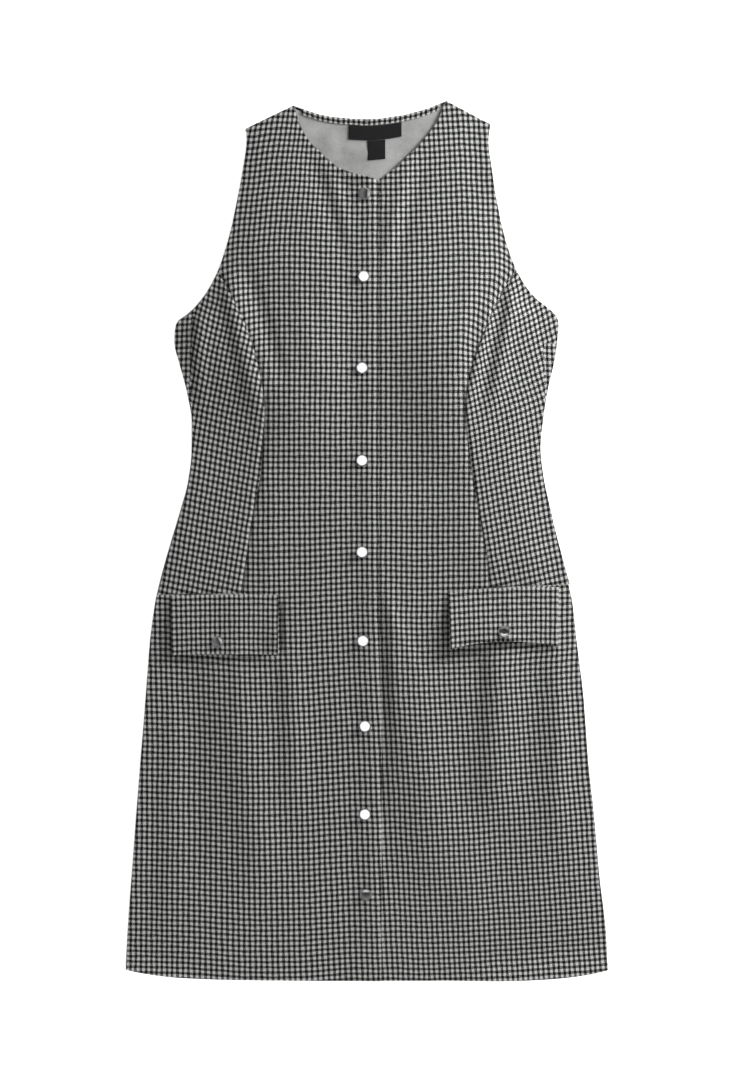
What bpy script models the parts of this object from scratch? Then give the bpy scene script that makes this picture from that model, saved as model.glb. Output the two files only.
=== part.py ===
"""Sleeveless pinafore dress with a snap-fastened front, laid flat on its back.

The dress lies in the XY plane with its neck towards +Y, its front up (+Z) and the wearer's
right side at -X.  The back is one flat piece.  The front is cut in two centre panels, which
overlap at the placket, and two princess side panels, and it carries two hip pocket flaps.
The tables are in millimetres; the mesh is in metres, with the origin under the middle of
the dress, on the surface that it lies on.
"""
import math
from collections import namedtuple

import bmesh
import bpy
from mathutils import Vector

MM = 0.001

# ---- cloth and the stack of plies, in mm ------------------------------------------------
CLOTH = 1.3            # thickness of the double-knit cloth
PLY_GAP = 0.35         # air between two plies that lie on each other
SEAM_GAP = 0.32        # slit between two panels sewn edge to edge, measured along X
TRIM = 1.0             # thickness of the neck turning and of the two labels
BACK_TOP = CLOTH
FRONT_FLOOR = BACK_TOP + PLY_GAP + CLOTH    # upper face of a front panel lying on the back

# ---- outline ----------------------------------------------------------------------------
# Half widths of the laid dress: from the centre line to the wearer's right and left edges.
Section = namedtuple("Section", "height right left")
SIDES = [
    Section(-424, 238.0, 238.0),     # hem corner
    Section(-394, 236.6, 236.8),
    Section(-335, 232.4, 230.3),
    Section(-275, 228.0, 225.1),
    Section(-216, 223.4, 218.9),
    Section(-157, 218.6, 214.6),     # thigh
    Section(-98, 214.1, 207.6),
    Section(-58, 208.6, 203.0),      # hip seam
    Section(-29, 201.7, 195.9),
    Section(1, 193.1, 188.0),
    Section(31, 184.1, 181.2),
    Section(60, 176.5, 175.0),
    Section(90, 173.2, 171.9),       # waist
    Section(119, 173.0, 174.6),
    Section(149, 177.7, 179.2),
    Section(179, 185.7, 186.1),
    Section(198, 190.1, 188.7),
    Section(210, 189.7, 189.9),      # underarm point
    Section(218, 186.6, 189.0),
    Section(223, 179.5, 186.0),
    Section(228, 173.3, 180.7),
    Section(238, 164.3, 168.5),
    Section(248, 157.2, 159.4),
    Section(268, 147.0, 147.8),      # princess seams meet the armholes
    Section(287, 140.4, 140.5),
    Section(307, 134.7, 134.9),
    Section(337, 128.2, 128.7),
    Section(366, 122.9, 124.0),
    Section(396, 118.9, 120.5),
    Section(412, 119.3, 122.4),      # shoulder points
]
SHOULDER = {"right": 408.0, "left": 411.8}      # heights of the shoulder points

# Princess seams, from the hip seam up to the armhole: half widths as above.
PRINCESS = [
    Section(-60, 123.6, 121.2),
    Section(-20, 119.5, 119.0),
    Section(8, 115.7, 113.8),
    Section(42, 109.3, 108.2),
    Section(70, 104.4, 103.6),
    Section(100, 102.4, 99.8),
    Section(128, 100.4, 97.1),
    Section(150, 102.4, 98.9),
    Section(183, 109.3, 106.9),
    Section(208, 117.0, 116.8),
    Section(235, 129.6, 128.6),
    Section(268, 147.0, 147.8),
]
PRINCESS_TOP = 266.0   # last section of the side panels, just below the armhole

HEM_MIDDLE = -434.9    # lowest point of the hem
HEM_LIFT = 9.5         # how far its ends rise
HIP_MIDDLE = -48.3     # height of the hip seam line at the centre
HIP_SLOPE = 0.0246     # it rises towards the wearer's left

# ---- neckline and placket ---------------------------------------------------------------
Edge = namedtuple("Edge", "height x")
PLACKET = [            # free edge of the upper front, right over left, from hem to neck
    Edge(-436, 14.4),
    Edge(-340, 14.7),
    Edge(-210, 14.8),
    Edge(-150, 13.8),
    Edge(-50, 12.5),
    Edge(60, 11.9),
    Edge(230, 12.4),
    Edge(358, 12.3),
]
UNDER_EDGE = -12.5     # free edge of the lower front, below it
YOKE_LEVEL = 348.0     # last straight section, just below the neckline
Spot = namedtuple("Spot", "x y")
NECKLINE = {
    "right": [Spot(12.3, 348), Spot(12.0, 355.2), Spot(3.5, 358.8), Spot(-8.5, 361.8),
              Spot(-26.4, 368.2), Spot(-42.7, 381.5), Spot(-57.3, 396.0), Spot(-66.4, 412.8),
              Spot(-71.8, 430.5)],
    "left": [Spot(-12.5, 348), Spot(-12.5, 354.0), Spot(-4.0, 354.8), Spot(10.2, 356.8),
             Spot(22.0, 363.8), Spot(37.8, 377.8), Spot(55.6, 396.0), Spot(69.2, 414.0),
             Spot(78.3, 435.1)],
}
BACK_NECK = [Spot(-71.8, 430.5), Spot(-58.0, 425.7), Spot(-46.1, 421.9), Spot(-34.3, 419.6),
             Spot(-10.6, 417.7), Spot(1.3, 417.3), Spot(13.1, 418.0), Spot(36.8, 421.5),
             Spot(60.5, 427.9), Spot(72.4, 432.9), Spot(78.3, 435.1)]
TURNING_ENDS = (-64.5, 71.0)   # the turned back neck edge stops short of the front necklines
TURNING_WIDTH = 6.5

# ---- relief of the front ----------------------------------------------------------------
PUFF = 2.4             # how far the front stands off the back away from its edges
EDGE_ROLL = 34.0       # width of the roll down to the side seams
HEM_ROLL = 60.0        # the same above the hem
BUST = {"x": 74.0, "y": 172.0, "spread_x": 44.0, "spread_y": 70.0, "rise": 8.0}
SEAM_RIDGE = 4.6       # height of the soft ridge that the left princess seam stands on
# Main creases and fullnesses: a soft ridge (or trough, where the rise is negative) from
# its start to its end, with its half width and its rise.
Fold = namedtuple("Fold", "x0 y0 x1 y1 width rise")
FOLDS = [
    Fold(-142, 268, -110, 138, 10, 4.4),     # the right bust fold: its crest,
    Fold(-118, 266, -82, 158, 9, -3.2),      # the valley towards the centre,
    Fold(-155, 244, -134, 152, 8, 0.7),      # and its gentler side, away from the light
    Fold(106, 268, 86, 178, 9, 1.6),         # the left bust folds
    Fold(122, 228, 99, 132, 6.5, 1.7),
    Fold(137, 254, 112, 140, 7, -2.8),
    Fold(148, 264, 126, 140, 8, 3.0),
    Fold(-54, 374, -22, 284, 8, -1.4),       # drawn in by the top snap
    Fold(54, 368, 31, 280, 8, -1.5),
    Fold(19, -56, 33, -190, 10, 1.8),        # the skirt, left front: its first ridge,
    Fold(36, -96, 74, -345, 29, 5.2),        # the broad one that it runs into,
    Fold(107, -112, 110, -196, 9, -1.2),     # and those under the flap
    Fold(133, -104, 124, -264, 19, 5.6),
    Fold(169, -112, 158, -240, 9, -1.4),
    Fold(196, -112, 186, -290, 12, 3.0),
    Fold(98, -270, 106, -380, 20, 1.8),
    Fold(-134, -124, -104, -335, 21, 3.2),   # the skirt, right front
    Fold(-75, -112, -70, -262, 13, 2.4),
    Fold(-176, -122, -168, -300, 12, -1.4),
    Fold(-196, -150, -192, -395, 16, 1.6),
    Fold(-150, 116, -146, -62, 58, -2.6),    # the waist falls away to the right side
]

# ---- grids ------------------------------------------------------------------------------
SKIRT_ROWS = 20
BODY_RUNS = [(-48.3, 190.0, 12), (190.0, 258.0, 7), (258.0, 266.0, 1), (266.0, 272.0, 1),
             (272.0, 348.0, 4)]       # from, to, rows: closer round the underarm
SIDE_COLUMNS = 6       # across a side panel, and below it across the skirt
MIDDLE_COLUMNS = 9     # from the princess line to the overlap
LAP_COLUMNS = 2        # across the overlap

# ---- pocket flaps -----------------------------------------------------------------------
# Corners at the seam and at the free edge, the bow of both edges (up), and the lift of the
# lower inner corner.
FlapCut = namedtuple("FlapCut", "inner_top outer_top inner_low outer_low bow_top bow_low lift")
FLAPS = {
    "right": FlapCut(Spot(-87.4, -53.0), Spot(-194.0, -54.0), Spot(-87.2, -112.4),
                     Spot(-192.6, -112.6), 1.0, 0.6, 3.0),
    "left": FlapCut(Spot(80.6, -49.4), Spot(189.8, -45.6), Spot(82.4, -106.6),
                    Spot(189.0, -104.6), 1.6, 6.6, 2.2),
}
FLAP_COLUMNS = 10
FLAP_ROWS = 5
FLAP_CLEAR = 0.45      # air between a flap's root and the panel below it
FLAP_RISE = 0.9        # a flap's free edge stands a little higher

# ---- snaps ------------------------------------------------------------------------------
FRONT_SNAPS = [Spot(-1.7, 342.6), Spot(-2.9, 261.1), Spot(-4.6, 170.8), Spot(-4.6, 79.5),
               Spot(-4.6, -10.9), Spot(-3.7, -98.5), Spot(-1.7, -182.7), Spot(-1.7, -269.6),
               Spot(-0.7, -348.6)]
FLAP_SNAPS = {"right": Spot(-147.1, -99.7), "left": Spot(135.3, -89.1)}
SNAP_STEPS = 16
SNAP_CLEAR = 0.35
# Turned profile of the cap from its crown to its underside: radius and height.
SNAP_PROFILE = [(0.0, 1.95), (2.2, 1.85), (3.9, 1.35), (4.6, 1.75), (5.4, 1.75),
                (6.0, 1.25), (6.0, 0.35), (5.6, 0.0), (0.0, 0.0)]

# ---- labels inside the back neck --------------------------------------------------------
Tape = namedtuple("Tape", "x width height hang columns")
LABEL = Tape(8.3, 52.4, 14.2, 0.4, 8)          # hang: gap below what it is sewn under
SIZE_TAB = Tape(9.6, 17.6, 19.4, 0.4, 3)

# ---- finishes: colour, roughness, metallic ----------------------------------------------
FINISHES = {
    "checked_knit": ((0.145, 0.145, 0.140, 1.0), 0.86, 0.0),
    "grey_reverse": ((0.40, 0.40, 0.39, 1.0), 0.90, 0.0),
    "black_woven": ((0.012, 0.012, 0.015, 1.0), 0.60, 0.0),
    "polished_metal": ((0.78, 0.78, 0.79, 1.0), 0.12, 1.0),
}
KNIT = ["checked_knit", "grey_reverse"]     # a knit panel's face and its reverse


# ---- curves through the tables ----------------------------------------------------------
def slopes(keys, values):
    """Slopes of a smooth curve that never swings past its table's own values."""
    steps = [(values[i + 1] - values[i]) / (keys[i + 1] - keys[i])
             for i in range(len(keys) - 1)]
    inner = [0.0 if a * b <= 0 else 2 * a * b / (a + b) for a, b in zip(steps, steps[1:])]
    return [steps[0]] + inner + [steps[-1]]


def smooth_curve(keys, values):
    """Return a function that reads the smooth curve through (keys, values)."""
    tangents = slopes(keys, values)

    def read(at):
        at = min(max(at, keys[0]), keys[-1])
        i = max(j for j in range(len(keys) - 1) if keys[j] <= at)
        span = keys[i + 1] - keys[i]
        t = (at - keys[i]) / span
        near = (1 + 2 * t) * (1 - t) ** 2 * values[i] + t * (1 - t) ** 2 * span * tangents[i]
        far = t * t * (3 - 2 * t) * values[i + 1] + t * t * (t - 1) * span * tangents[i + 1]
        return near + far

    return read


def half_widths(table):
    """Curves of both half widths in a table of sections."""
    heights = [row.height for row in table]
    return {side: smooth_curve(heights, [getattr(row, side) for row in table])
            for side in ("right", "left")}


SIGN = {"right": -1.0, "left": 1.0}
side_width = half_widths(SIDES)
princess_width = half_widths(PRINCESS)
placket_edge = smooth_curve([edge.height for edge in PLACKET], [edge.x for edge in PLACKET])
back_neck_height = smooth_curve([s.x for s in BACK_NECK], [s.y for s in BACK_NECK])


def ease(value):
    """Smooth step from 0 to 1."""
    value = min(max(value, 0.0), 1.0)
    return value * value * (3 - 2 * value)


def hem_height(x):
    """The hem is a shallow arc with small round corners."""
    across = abs(x) / 238.0
    return HEM_MIDDLE + HEM_LIFT * across ** 6 + 2.0 * across ** 2


def hip_height(x):
    return HIP_MIDDLE + HIP_SLOPE * x


# ---- form of the laid front -------------------------------------------------------------
def fold_rise(fold, x, y):
    """Height of one fold at a point: round across, and dying away at both ends."""
    run_x, run_y = fold.x1 - fold.x0, fold.y1 - fold.y0
    length = math.hypot(run_x, run_y)
    along = ((x - fold.x0) * run_x + (y - fold.y0) * run_y) / length
    across = ((x - fold.x0) * run_y - (y - fold.y0) * run_x) / length
    fade = 0.22 * length
    ends = ease((along + fade) / (2 * fade)) * ease((length - along + fade) / (2 * fade))
    return fold.rise * ends * math.exp(-(across / fold.width) ** 2)


def seam_ridge(x, y):
    """The soft ridge under the left princess seam: it falls away to the side, and inwards."""
    seam, edge = princess_width["left"](y), side_width["left"](y)
    if x > seam:
        fall = max((edge - x) / (edge - seam), 0.0)
    else:
        fall = 0.78 * math.exp(-((x - seam) / 38.0) ** 2)
    return SEAM_RIDGE * ease((y + 75) / 70) * ease((262 - y) / 60) * fall


def relief(x, y):
    """How far the front's upper face stands above a front lying flat on the back, in mm."""
    edge = min(x + side_width["right"](y), side_width["left"](y) - x)
    low = ease((y - hem_height(x)) / HEM_ROLL)
    broad = 100 * ease((-20 - y) / 80) if x < 0 else 0.0
    body = PUFF * (1.0 - 0.55 * ease((y - 250) / 170)) * ease(edge / (EDGE_ROLL + broad)) * low
    bust = sum(math.exp(-((x - sign * BUST["x"]) / BUST["spread_x"]) ** 2
                        - ((y - BUST["y"]) / BUST["spread_y"]) ** 2) for sign in (-1, 1))
    placket = max(UNDER_EDGE - x, x - placket_edge(y), 0.0)
    folds = ease(placket / 14.0) * sum(fold_rise(fold, x, y) for fold in FOLDS)
    form = BUST["rise"] * bust + folds + seam_ridge(x, y)
    return max(body + ease(edge / EDGE_ROLL) * low * form, 0.0)


def front_top(side, x, y):
    """Height of a front panel's upper face, in mm."""
    lap = 0.0
    if side == "right":
        lap = (CLOTH + PLY_GAP) * ease((x - UNDER_EDGE + 30.0) / 27.0)
    return FRONT_FLOOR + relief(x, y) + lap


# ---- building blocks --------------------------------------------------------------------
def finish(name):
    """The material with the colour, roughness and metallic value of one finish."""
    material = bpy.data.materials.get(name)
    if material is None:
        colour, roughness, metallic = FINISHES[name]
        material = bpy.data.materials.new(name)
        material.use_nodes = True
        shader = material.node_tree.nodes["Principled BSDF"]
        shader.inputs["Base Color"].default_value = colour
        shader.inputs["Roughness"].default_value = roughness
        shader.inputs["Metallic"].default_value = metallic
    return material


def add_object(name, bm, finish_names, collection):
    """Put a finished mesh in the dress's collection: its face's finish, then its reverse's."""
    mesh = bpy.data.meshes.new(name)
    bm.to_mesh(mesh)
    bm.free()
    for finish_name in finish_names:
        mesh.materials.append(finish(finish_name))
    obj = bpy.data.objects.new(name, mesh)
    collection.objects.link(obj)
    return obj


def sheet(rows, thickness):
    """Loft a sheet of cloth through its sections and extrude it down to its thickness.

    rows is a list of sections, each a list of points or None where the sheet is cut away.
    """
    bm = bmesh.new()
    grid = [[bm.verts.new(Vector(p) * MM) if p else None for p in row] for row in rows]
    for low, high in zip(grid, grid[1:]):
        for i in range(len(low) - 1):
            corners = (low[i], low[i + 1], high[i + 1], high[i])
            if all(corners):
                bm.faces.new(corners)
    bmesh.ops.triangulate(bm, faces=bm.faces[:], quad_method="FIXED")
    upper = bm.faces[:]
    bmesh.ops.recalc_face_normals(bm, faces=upper)
    if upper[0].normal.z < 0:
        bmesh.ops.reverse_faces(bm, faces=upper)
    lower = bmesh.ops.extrude_face_region(bm, geom=upper, use_keep_orig=True)["geom"]
    lower_points = [item for item in lower if isinstance(item, bmesh.types.BMVert)]
    bmesh.ops.translate(bm, verts=lower_points, vec=(0, 0, -thickness * MM))
    for item in lower:
        if isinstance(item, bmesh.types.BMFace):
            item.material_index = 1
    bmesh.ops.recalc_face_normals(bm, faces=bm.faces[:])
    return bm


def between(start, end, count):
    """count + 1 evenly spaced numbers."""
    return [start + (end - start) * i / count for i in range(count + 1)]


def mix(a, b, t):
    return Spot(a.x + (b.x - a.x) * t, a.y + (b.y - a.y) * t)


# ---- panels -----------------------------------------------------------------------------
def middle_columns(side, x_outer, y):
    """X of each column of a centre panel, from its outer edge to its free edge."""
    over = placket_edge(y)
    near, far = (UNDER_EDGE, over) if side == "right" else (over, UNDER_EDGE)
    return between(x_outer, near, MIDDLE_COLUMNS)[:-1] + between(near, far, LAP_COLUMNS)


def outer_edge(side, y):
    """X of a centre panel's outer edge above the hip seam: princess seam, then armhole."""
    if y <= PRINCESS_TOP:
        return SIGN[side] * (princess_width[side](y) - SEAM_GAP / 2)
    return SIGN[side] * side_width[side](y)


def body_heights():
    """Heights of the sections from the hip seam to the yoke, at the centre line."""
    heights = [HIP_MIDDLE]
    for start, end, count in BODY_RUNS:
        heights += between(start, end, count)[1:]
    return heights


def body_level(height, x):
    """A section's height at x: it follows the hip seam's slope, less so higher up."""
    share = (height - HIP_MIDDLE) / (YOKE_LEVEL - HIP_MIDDLE)
    return hip_height(x) + share * (YOKE_LEVEL - hip_height(x))


def skirt_sections(side):
    """Sections of a centre panel from the hem to the hip seam, out to the side seam."""
    sign = SIGN[side]
    princess_x = outer_edge(side, HIP_MIDDLE)
    rows = []
    for t in between(0.0, 1.0, SKIRT_ROWS):

        def level(x):
            return hem_height(x) + t * (hip_height(x) - hem_height(x))

        line = middle_columns(side, princess_x * (1.05 - 0.05 * t), level(0.0))
        edge_y = level(sign * 215)
        edge = sign * side_width[side](edge_y)
        across = between(edge, line[0], SIDE_COLUMNS)[:-1] + line
        rows.append([(x, level(x), front_top(side, x, level(x))) for x in across])
    return rows


def body_sections(side):
    """Sections from the hip seam up to the yoke, and then fanned along the neckline."""
    rows = []
    for height in body_heights()[1:]:
        line = middle_columns(side, outer_edge(side, height), height)
        rows.append([Spot(x, body_level(height, x)) for x in line])
    last = rows[-1]
    span = last[-1].x - last[0].x
    shares = [(spot.x - last[0].x) / span for spot in last]
    fan = NECKLINE[side]
    for i, inner in enumerate(fan[1:], start=1):
        y = YOKE_LEVEL + (SHOULDER[side] - YOKE_LEVEL) * i / (len(fan) - 1)
        outer = Spot(outer_edge(side, y), y)
        rows.append([mix(outer, inner, share) for share in shares])
    return [[(s.x, s.y, front_top(side, s.x, s.y)) for s in row] for row in rows]


def front_panel(side, collection):
    """Centre panel, neck to hem: it spreads to the side seam below the hip seam."""
    cut_away = [None] * SIDE_COLUMNS
    rows = skirt_sections(side) + [cut_away + row for row in body_sections(side)]
    return add_object(f"front_{side}_panel", sheet(rows, CLOTH), KNIT, collection)


def side_front(side, collection):
    """Princess side panel, from the hip seam to its point on the armhole."""
    sign = SIGN[side]
    rows = []
    for height in body_heights():
        if height > PRINCESS_TOP:
            break
        seam = outer_edge(side, height) + sign * SEAM_GAP
        edge = sign * side_width[side](height)
        row = [Spot(x, body_level(height, x)) for x in between(edge, seam, SIDE_COLUMNS)]
        if not rows:
            row = [Spot(s.x, s.y + SEAM_GAP) for s in row]
        rows.append([(s.x, s.y, front_top(side, s.x, s.y)) for s in row])
    return add_object(f"side_front_{side}", sheet(rows, CLOTH), KNIT, collection)


def back_panel(collection):
    """The back: one piece, flat on the surface below it."""
    outline = [Spot(x, hem_height(x)) for x in between(-238.0, 238.0, 34)]
    levels = [row.height for row in SIDES[1:-1]]
    fine = sorted(levels + [(a + b) / 2 for a, b in zip(levels, levels[1:])])
    outline += [Spot(side_width["left"](y), y) for y in fine]
    outline.append(Spot(side_width["left"](SHOULDER["left"]), SHOULDER["left"]))
    outline += [Spot(x, back_neck_height(x)) for x in between(78.3, -71.8, 24)]
    outline.append(Spot(-side_width["right"](SHOULDER["right"]), SHOULDER["right"]))
    outline += [Spot(-side_width["right"](y), y) for y in reversed(fine)]
    bm = bmesh.new()
    face = bm.faces.new([bm.verts.new((s.x * MM, s.y * MM, BACK_TOP * MM)) for s in outline])
    lower = bmesh.ops.extrude_face_region(bm, geom=[face], use_keep_orig=True)["geom"]
    lower_points = [item for item in lower if isinstance(item, bmesh.types.BMVert)]
    bmesh.ops.translate(bm, verts=lower_points, vec=(0, 0, -CLOTH * MM))
    face.material_index = 1
    bmesh.ops.recalc_face_normals(bm, faces=bm.faces[:])
    return add_object("back_panel", bm, KNIT, collection)


# ---- trims ------------------------------------------------------------------------------
def neck_turning(collection):
    """The back neck edge, turned to the inside: a narrow strip of the checked face."""
    top = BACK_TOP + PLY_GAP + TRIM
    line = between(*TURNING_ENDS, 24)
    rows = [[(x, back_neck_height(x) - drop, top) for x in line]
            for drop in (TURNING_WIDTH, 0.3)]
    return add_object("back_neck_turning", sheet(rows, TRIM), KNIT, collection)


def label(name, tape, drop, collection):
    """A bare woven tape inside the back neck, drop below the edge of the neck."""
    top = BACK_TOP + PLY_GAP + TRIM
    line = between(tape.x - tape.width / 2, tape.x + tape.width / 2, tape.columns)
    rows = [[(x, back_neck_height(x) - drop - tape.hang - fall, top) for x in line]
            for fall in (tape.height, 0.0)]
    return add_object(name, sheet(rows, TRIM), ["black_woven", "black_woven"], collection)


def flap_point(side, across, down):
    """A point of a flap's upper face: across from the inner end, down from the seam."""
    cut = FLAPS[side]
    root = mix(cut.inner_top, cut.outer_top, across)
    free = mix(cut.inner_low, cut.outer_low, across)
    bow = 4 * across * (1 - across)
    spot = mix(Spot(root.x, root.y + cut.bow_top * bow), Spot(free.x, free.y + cut.bow_low * bow),
               down)
    ground = max(front_top(side, spot.x + dx, spot.y + dy)
                 for dx in (-6, 0, 6) for dy in (-6, 0, 6))
    lift = FLAP_RISE * ease(down) + cut.lift * ease(1 - across / 0.16) * ease(down / 0.7)
    return spot.x, spot.y, ground + FLAP_CLEAR + CLOTH + lift


def pocket_flap(side, collection):
    """Hip pocket flap: sewn in the hip seam at its top edge, free along the others."""
    rows = [[flap_point(side, across, down) for across in between(0.0, 1.0, FLAP_COLUMNS)]
            for down in between(0.0, 1.0, FLAP_ROWS)]
    return add_object(f"pocket_flap_{side}", sheet(rows, CLOTH), KNIT, collection)


# ---- snaps ------------------------------------------------------------------------------
def snap_mesh():
    """Half section of a snap cap, which the screw turns into its round form."""
    mesh = bpy.data.meshes.new("snap_cap")
    points = [(radius * MM, 0.0, height * MM) for radius, height in SNAP_PROFILE]
    edges = [(i, i + 1) for i in range(len(points) - 1)]
    mesh.from_pydata(points, edges, [])
    mesh.materials.append(finish("polished_metal"))
    return mesh


def snap(name, mesh, place, normal, collection):
    """A snap cap that lies on the cloth, its axis along the cloth's normal."""
    obj = bpy.data.objects.new(name, mesh)
    collection.objects.link(obj)
    turn = obj.modifiers.new("turned", "SCREW")
    turn.axis = "Z"
    turn.angle = math.tau
    turn.steps = SNAP_STEPS
    turn.render_steps = SNAP_STEPS
    turn.use_merge_vertices = True
    turn.merge_threshold = 0.00002
    turn.use_smooth_shade = True
    facing = Vector((0, 0, 1)).rotation_difference(normal)
    obj.rotation_mode = "QUATERNION"
    obj.rotation_quaternion = facing
    obj.location = place * MM + normal * SNAP_CLEAR * MM
    return obj


def seat(height_at, x, y):
    """Place and normal of a snap on a surface: clear of its highest point below the cap."""
    reach = SNAP_PROFILE[-2][0]
    slope_x = (height_at(x + reach, y) - height_at(x - reach, y)) / (2 * reach)
    slope_y = (height_at(x, y + reach) - height_at(x, y - reach)) / (2 * reach)
    base = height_at(x, y)
    rise = 0.0
    for i in range(8):
        dx, dy = reach * math.cos(i * math.pi / 4), reach * math.sin(i * math.pi / 4)
        rise = max(rise, height_at(x + dx, y + dy) - base - slope_x * dx - slope_y * dy)
    return Vector((x, y, base + rise)), Vector((-slope_x, -slope_y, 1.0)).normalized()


def flap_height(side):
    """Height of a flap's upper face as a function of x and y."""
    cut = FLAPS[side]

    def read(x, y):
        across = (x - cut.inner_top.x) / (cut.outer_top.x - cut.inner_top.x)
        root_y = mix(cut.inner_top, cut.outer_top, across).y
        free_y = mix(cut.inner_low, cut.outer_low, across).y
        bow = 4 * across * (1 - across)
        root_y += cut.bow_top * bow
        free_y += cut.bow_low * bow
        return flap_point(side, across, (root_y - y) / (root_y - free_y))[2]

    return read


def snaps(collection):
    """Nine caps down the placket and one on each flap."""
    mesh = snap_mesh()
    for number, spot in enumerate(FRONT_SNAPS, start=1):
        place, normal = seat(lambda x, y: front_top("right", x, y), spot.x, spot.y)
        snap(f"front_snap_{number}", mesh, place, normal, collection)
    for side, spot in FLAP_SNAPS.items():
        place, normal = seat(flap_height(side), spot.x, spot.y)
        snap(f"flap_snap_{side}", mesh, place, normal, collection)


def main():
    for obj in list(bpy.data.objects):
        bpy.data.objects.remove(obj, do_unlink=True)
    dress = bpy.data.collections.new("pinafore_dress")
    bpy.context.scene.collection.children.link(dress)
    back_panel(dress)
    neck_turning(dress)
    label("neck_label", LABEL, TURNING_WIDTH, dress)
    label("size_tab", SIZE_TAB, TURNING_WIDTH + LABEL.hang + LABEL.height, dress)
    for side in ("left", "right"):
        front_panel(side, dress)
        side_front(side, dress)
        pocket_flap(side, dress)
    snaps(dress)


main()
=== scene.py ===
"""Sleeveless pinafore dress in a small check double knit, laid flat, front up.

The script dresses the CAD frame: each panel is a thin shell of cloth on its solid's form, with
its creases, rolled edges and check, and the caps of the snaps are turned and seated on it.
Tables are in millimetres, with the neck towards +Y and the wearer's right side at -X.
"""

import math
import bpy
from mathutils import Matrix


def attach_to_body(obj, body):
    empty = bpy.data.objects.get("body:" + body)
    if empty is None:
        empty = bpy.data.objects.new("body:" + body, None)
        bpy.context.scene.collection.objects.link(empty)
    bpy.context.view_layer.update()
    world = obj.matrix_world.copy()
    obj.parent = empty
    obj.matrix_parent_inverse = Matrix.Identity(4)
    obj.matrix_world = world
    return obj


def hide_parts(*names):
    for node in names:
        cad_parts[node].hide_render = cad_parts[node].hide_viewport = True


bl_info = {
    "name": "Pinafore Dress",
    "version": (1, 0, 0),
    "blender": (4, 5, 0),
    "location": "View3D > Sidebar > Dress",
    "description": "Makes a pinafore dress laid flat, one operator for each group of pieces",
    "category": "Add Mesh",
}

from collections import namedtuple

import bmesh
import bpy
import numpy as np
from mathutils import Vector

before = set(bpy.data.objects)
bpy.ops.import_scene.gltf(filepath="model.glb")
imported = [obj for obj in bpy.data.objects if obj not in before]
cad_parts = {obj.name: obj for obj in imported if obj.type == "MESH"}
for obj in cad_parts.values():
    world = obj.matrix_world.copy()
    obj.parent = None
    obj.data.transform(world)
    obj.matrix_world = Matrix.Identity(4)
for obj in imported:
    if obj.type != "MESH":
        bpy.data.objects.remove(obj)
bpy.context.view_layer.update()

MM = 0.001
SIGN = {"right": -1.0, "left": 1.0}
Spot = namedtuple("Spot", "x y")
Section = namedtuple("Section", "height right left")
Edge = namedtuple("Edge", "height x")
Fold = namedtuple("Fold", "x0 y0 x1 y1 width rise")
FlapCut = namedtuple("FlapCut", "inner_top outer_top inner_low outer_low bow_top bow_low lift")
Tape = namedtuple("Tape", "x width height hang")
Cap = namedtuple("Cap", "x y lean_x lean_y")
Span = namedtuple("Span", "start length")    # something grows from its start, over its length
Drift = namedtuple("Drift", "skirt yoke")

# ---- cloth and the stack of plies -------------------------------------------------------
CLOTH = 1.3            # thickness of the double-knit cloth
PLY_GAP = 0.35         # air between two plies
SEAM_GAP = 0.32        # slit between two panels sewn edge to edge
SOFT_EDGE = 0.34       # roundness of a ply's edges, as a share of its thickness
EDGE_FALL = 0.28       # a ply's face falls this much towards its edges, over this length
EDGE_FALL_WIDTH = 1.2
TRIM = 1.0             # thickness of the neck turning and of the labels
BACK_TOP = CLOTH
TRIM_TOP = BACK_TOP + PLY_GAP + TRIM
FRONT_FLOOR = BACK_TOP + PLY_GAP + CLOTH

# ---- outline: half widths of the laid dress, and of its princess seams -------------------
SIDES = [
    Section(-424, 238.0, 238.0),     # hem corner
    Section(-394, 236.6, 236.8),
    Section(-335, 232.4, 230.3),
    Section(-275, 228.0, 225.1),
    Section(-216, 223.4, 218.9),
    Section(-157, 218.6, 214.6),     # thigh
    Section(-98, 214.1, 207.6),
    Section(-58, 208.6, 203.0),      # hip seam
    Section(-29, 201.7, 195.9),
    Section(1, 193.1, 188.0),
    Section(31, 184.1, 181.2),
    Section(60, 176.5, 175.0),
    Section(90, 173.2, 171.9),       # waist
    Section(119, 173.0, 174.6),
    Section(149, 177.7, 179.2),
    Section(179, 185.7, 186.1),
    Section(198, 190.1, 188.7),
    Section(210, 189.7, 189.9),      # underarm point
    Section(218, 186.6, 189.0),
    Section(223, 179.5, 186.0),
    Section(228, 173.3, 180.7),
    Section(238, 164.3, 168.5),
    Section(248, 157.2, 159.4),
    Section(268, 147.0, 147.8),      # princess seams meet the armholes
    Section(287, 140.4, 140.5),
    Section(307, 134.7, 134.9),
    Section(337, 128.2, 128.7),
    Section(366, 122.9, 124.0),
    Section(396, 118.9, 120.5),
    Section(412, 119.3, 122.4),      # shoulder points
]
SHOULDER = {"right": 408.0, "left": 411.8}
PRINCESS = [
    Section(-60, 123.6, 121.2),
    Section(-20, 119.5, 119.0),
    Section(8, 115.7, 113.8),
    Section(42, 109.3, 108.2),
    Section(70, 104.4, 103.6),
    Section(100, 102.4, 99.8),
    Section(128, 100.4, 97.1),
    Section(150, 102.4, 98.9),
    Section(183, 109.3, 106.9),
    Section(208, 117.0, 116.8),
    Section(235, 129.6, 128.6),
    Section(268, 147.0, 147.8),
]
PRINCESS_TOP = 266.0
HEM_MIDDLE = -434.9
HEM_LIFT = 9.5         # the hem rises to its corners by this, and along all of it by its bow
HEM_BOW = 2.0
HIP_MIDDLE = -48.3
HIP_SLOPE = 0.0246
SKIRT_LENGTH = 386.0   # rounded sizes that set how many lines a grid has: of the skirt,
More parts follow.
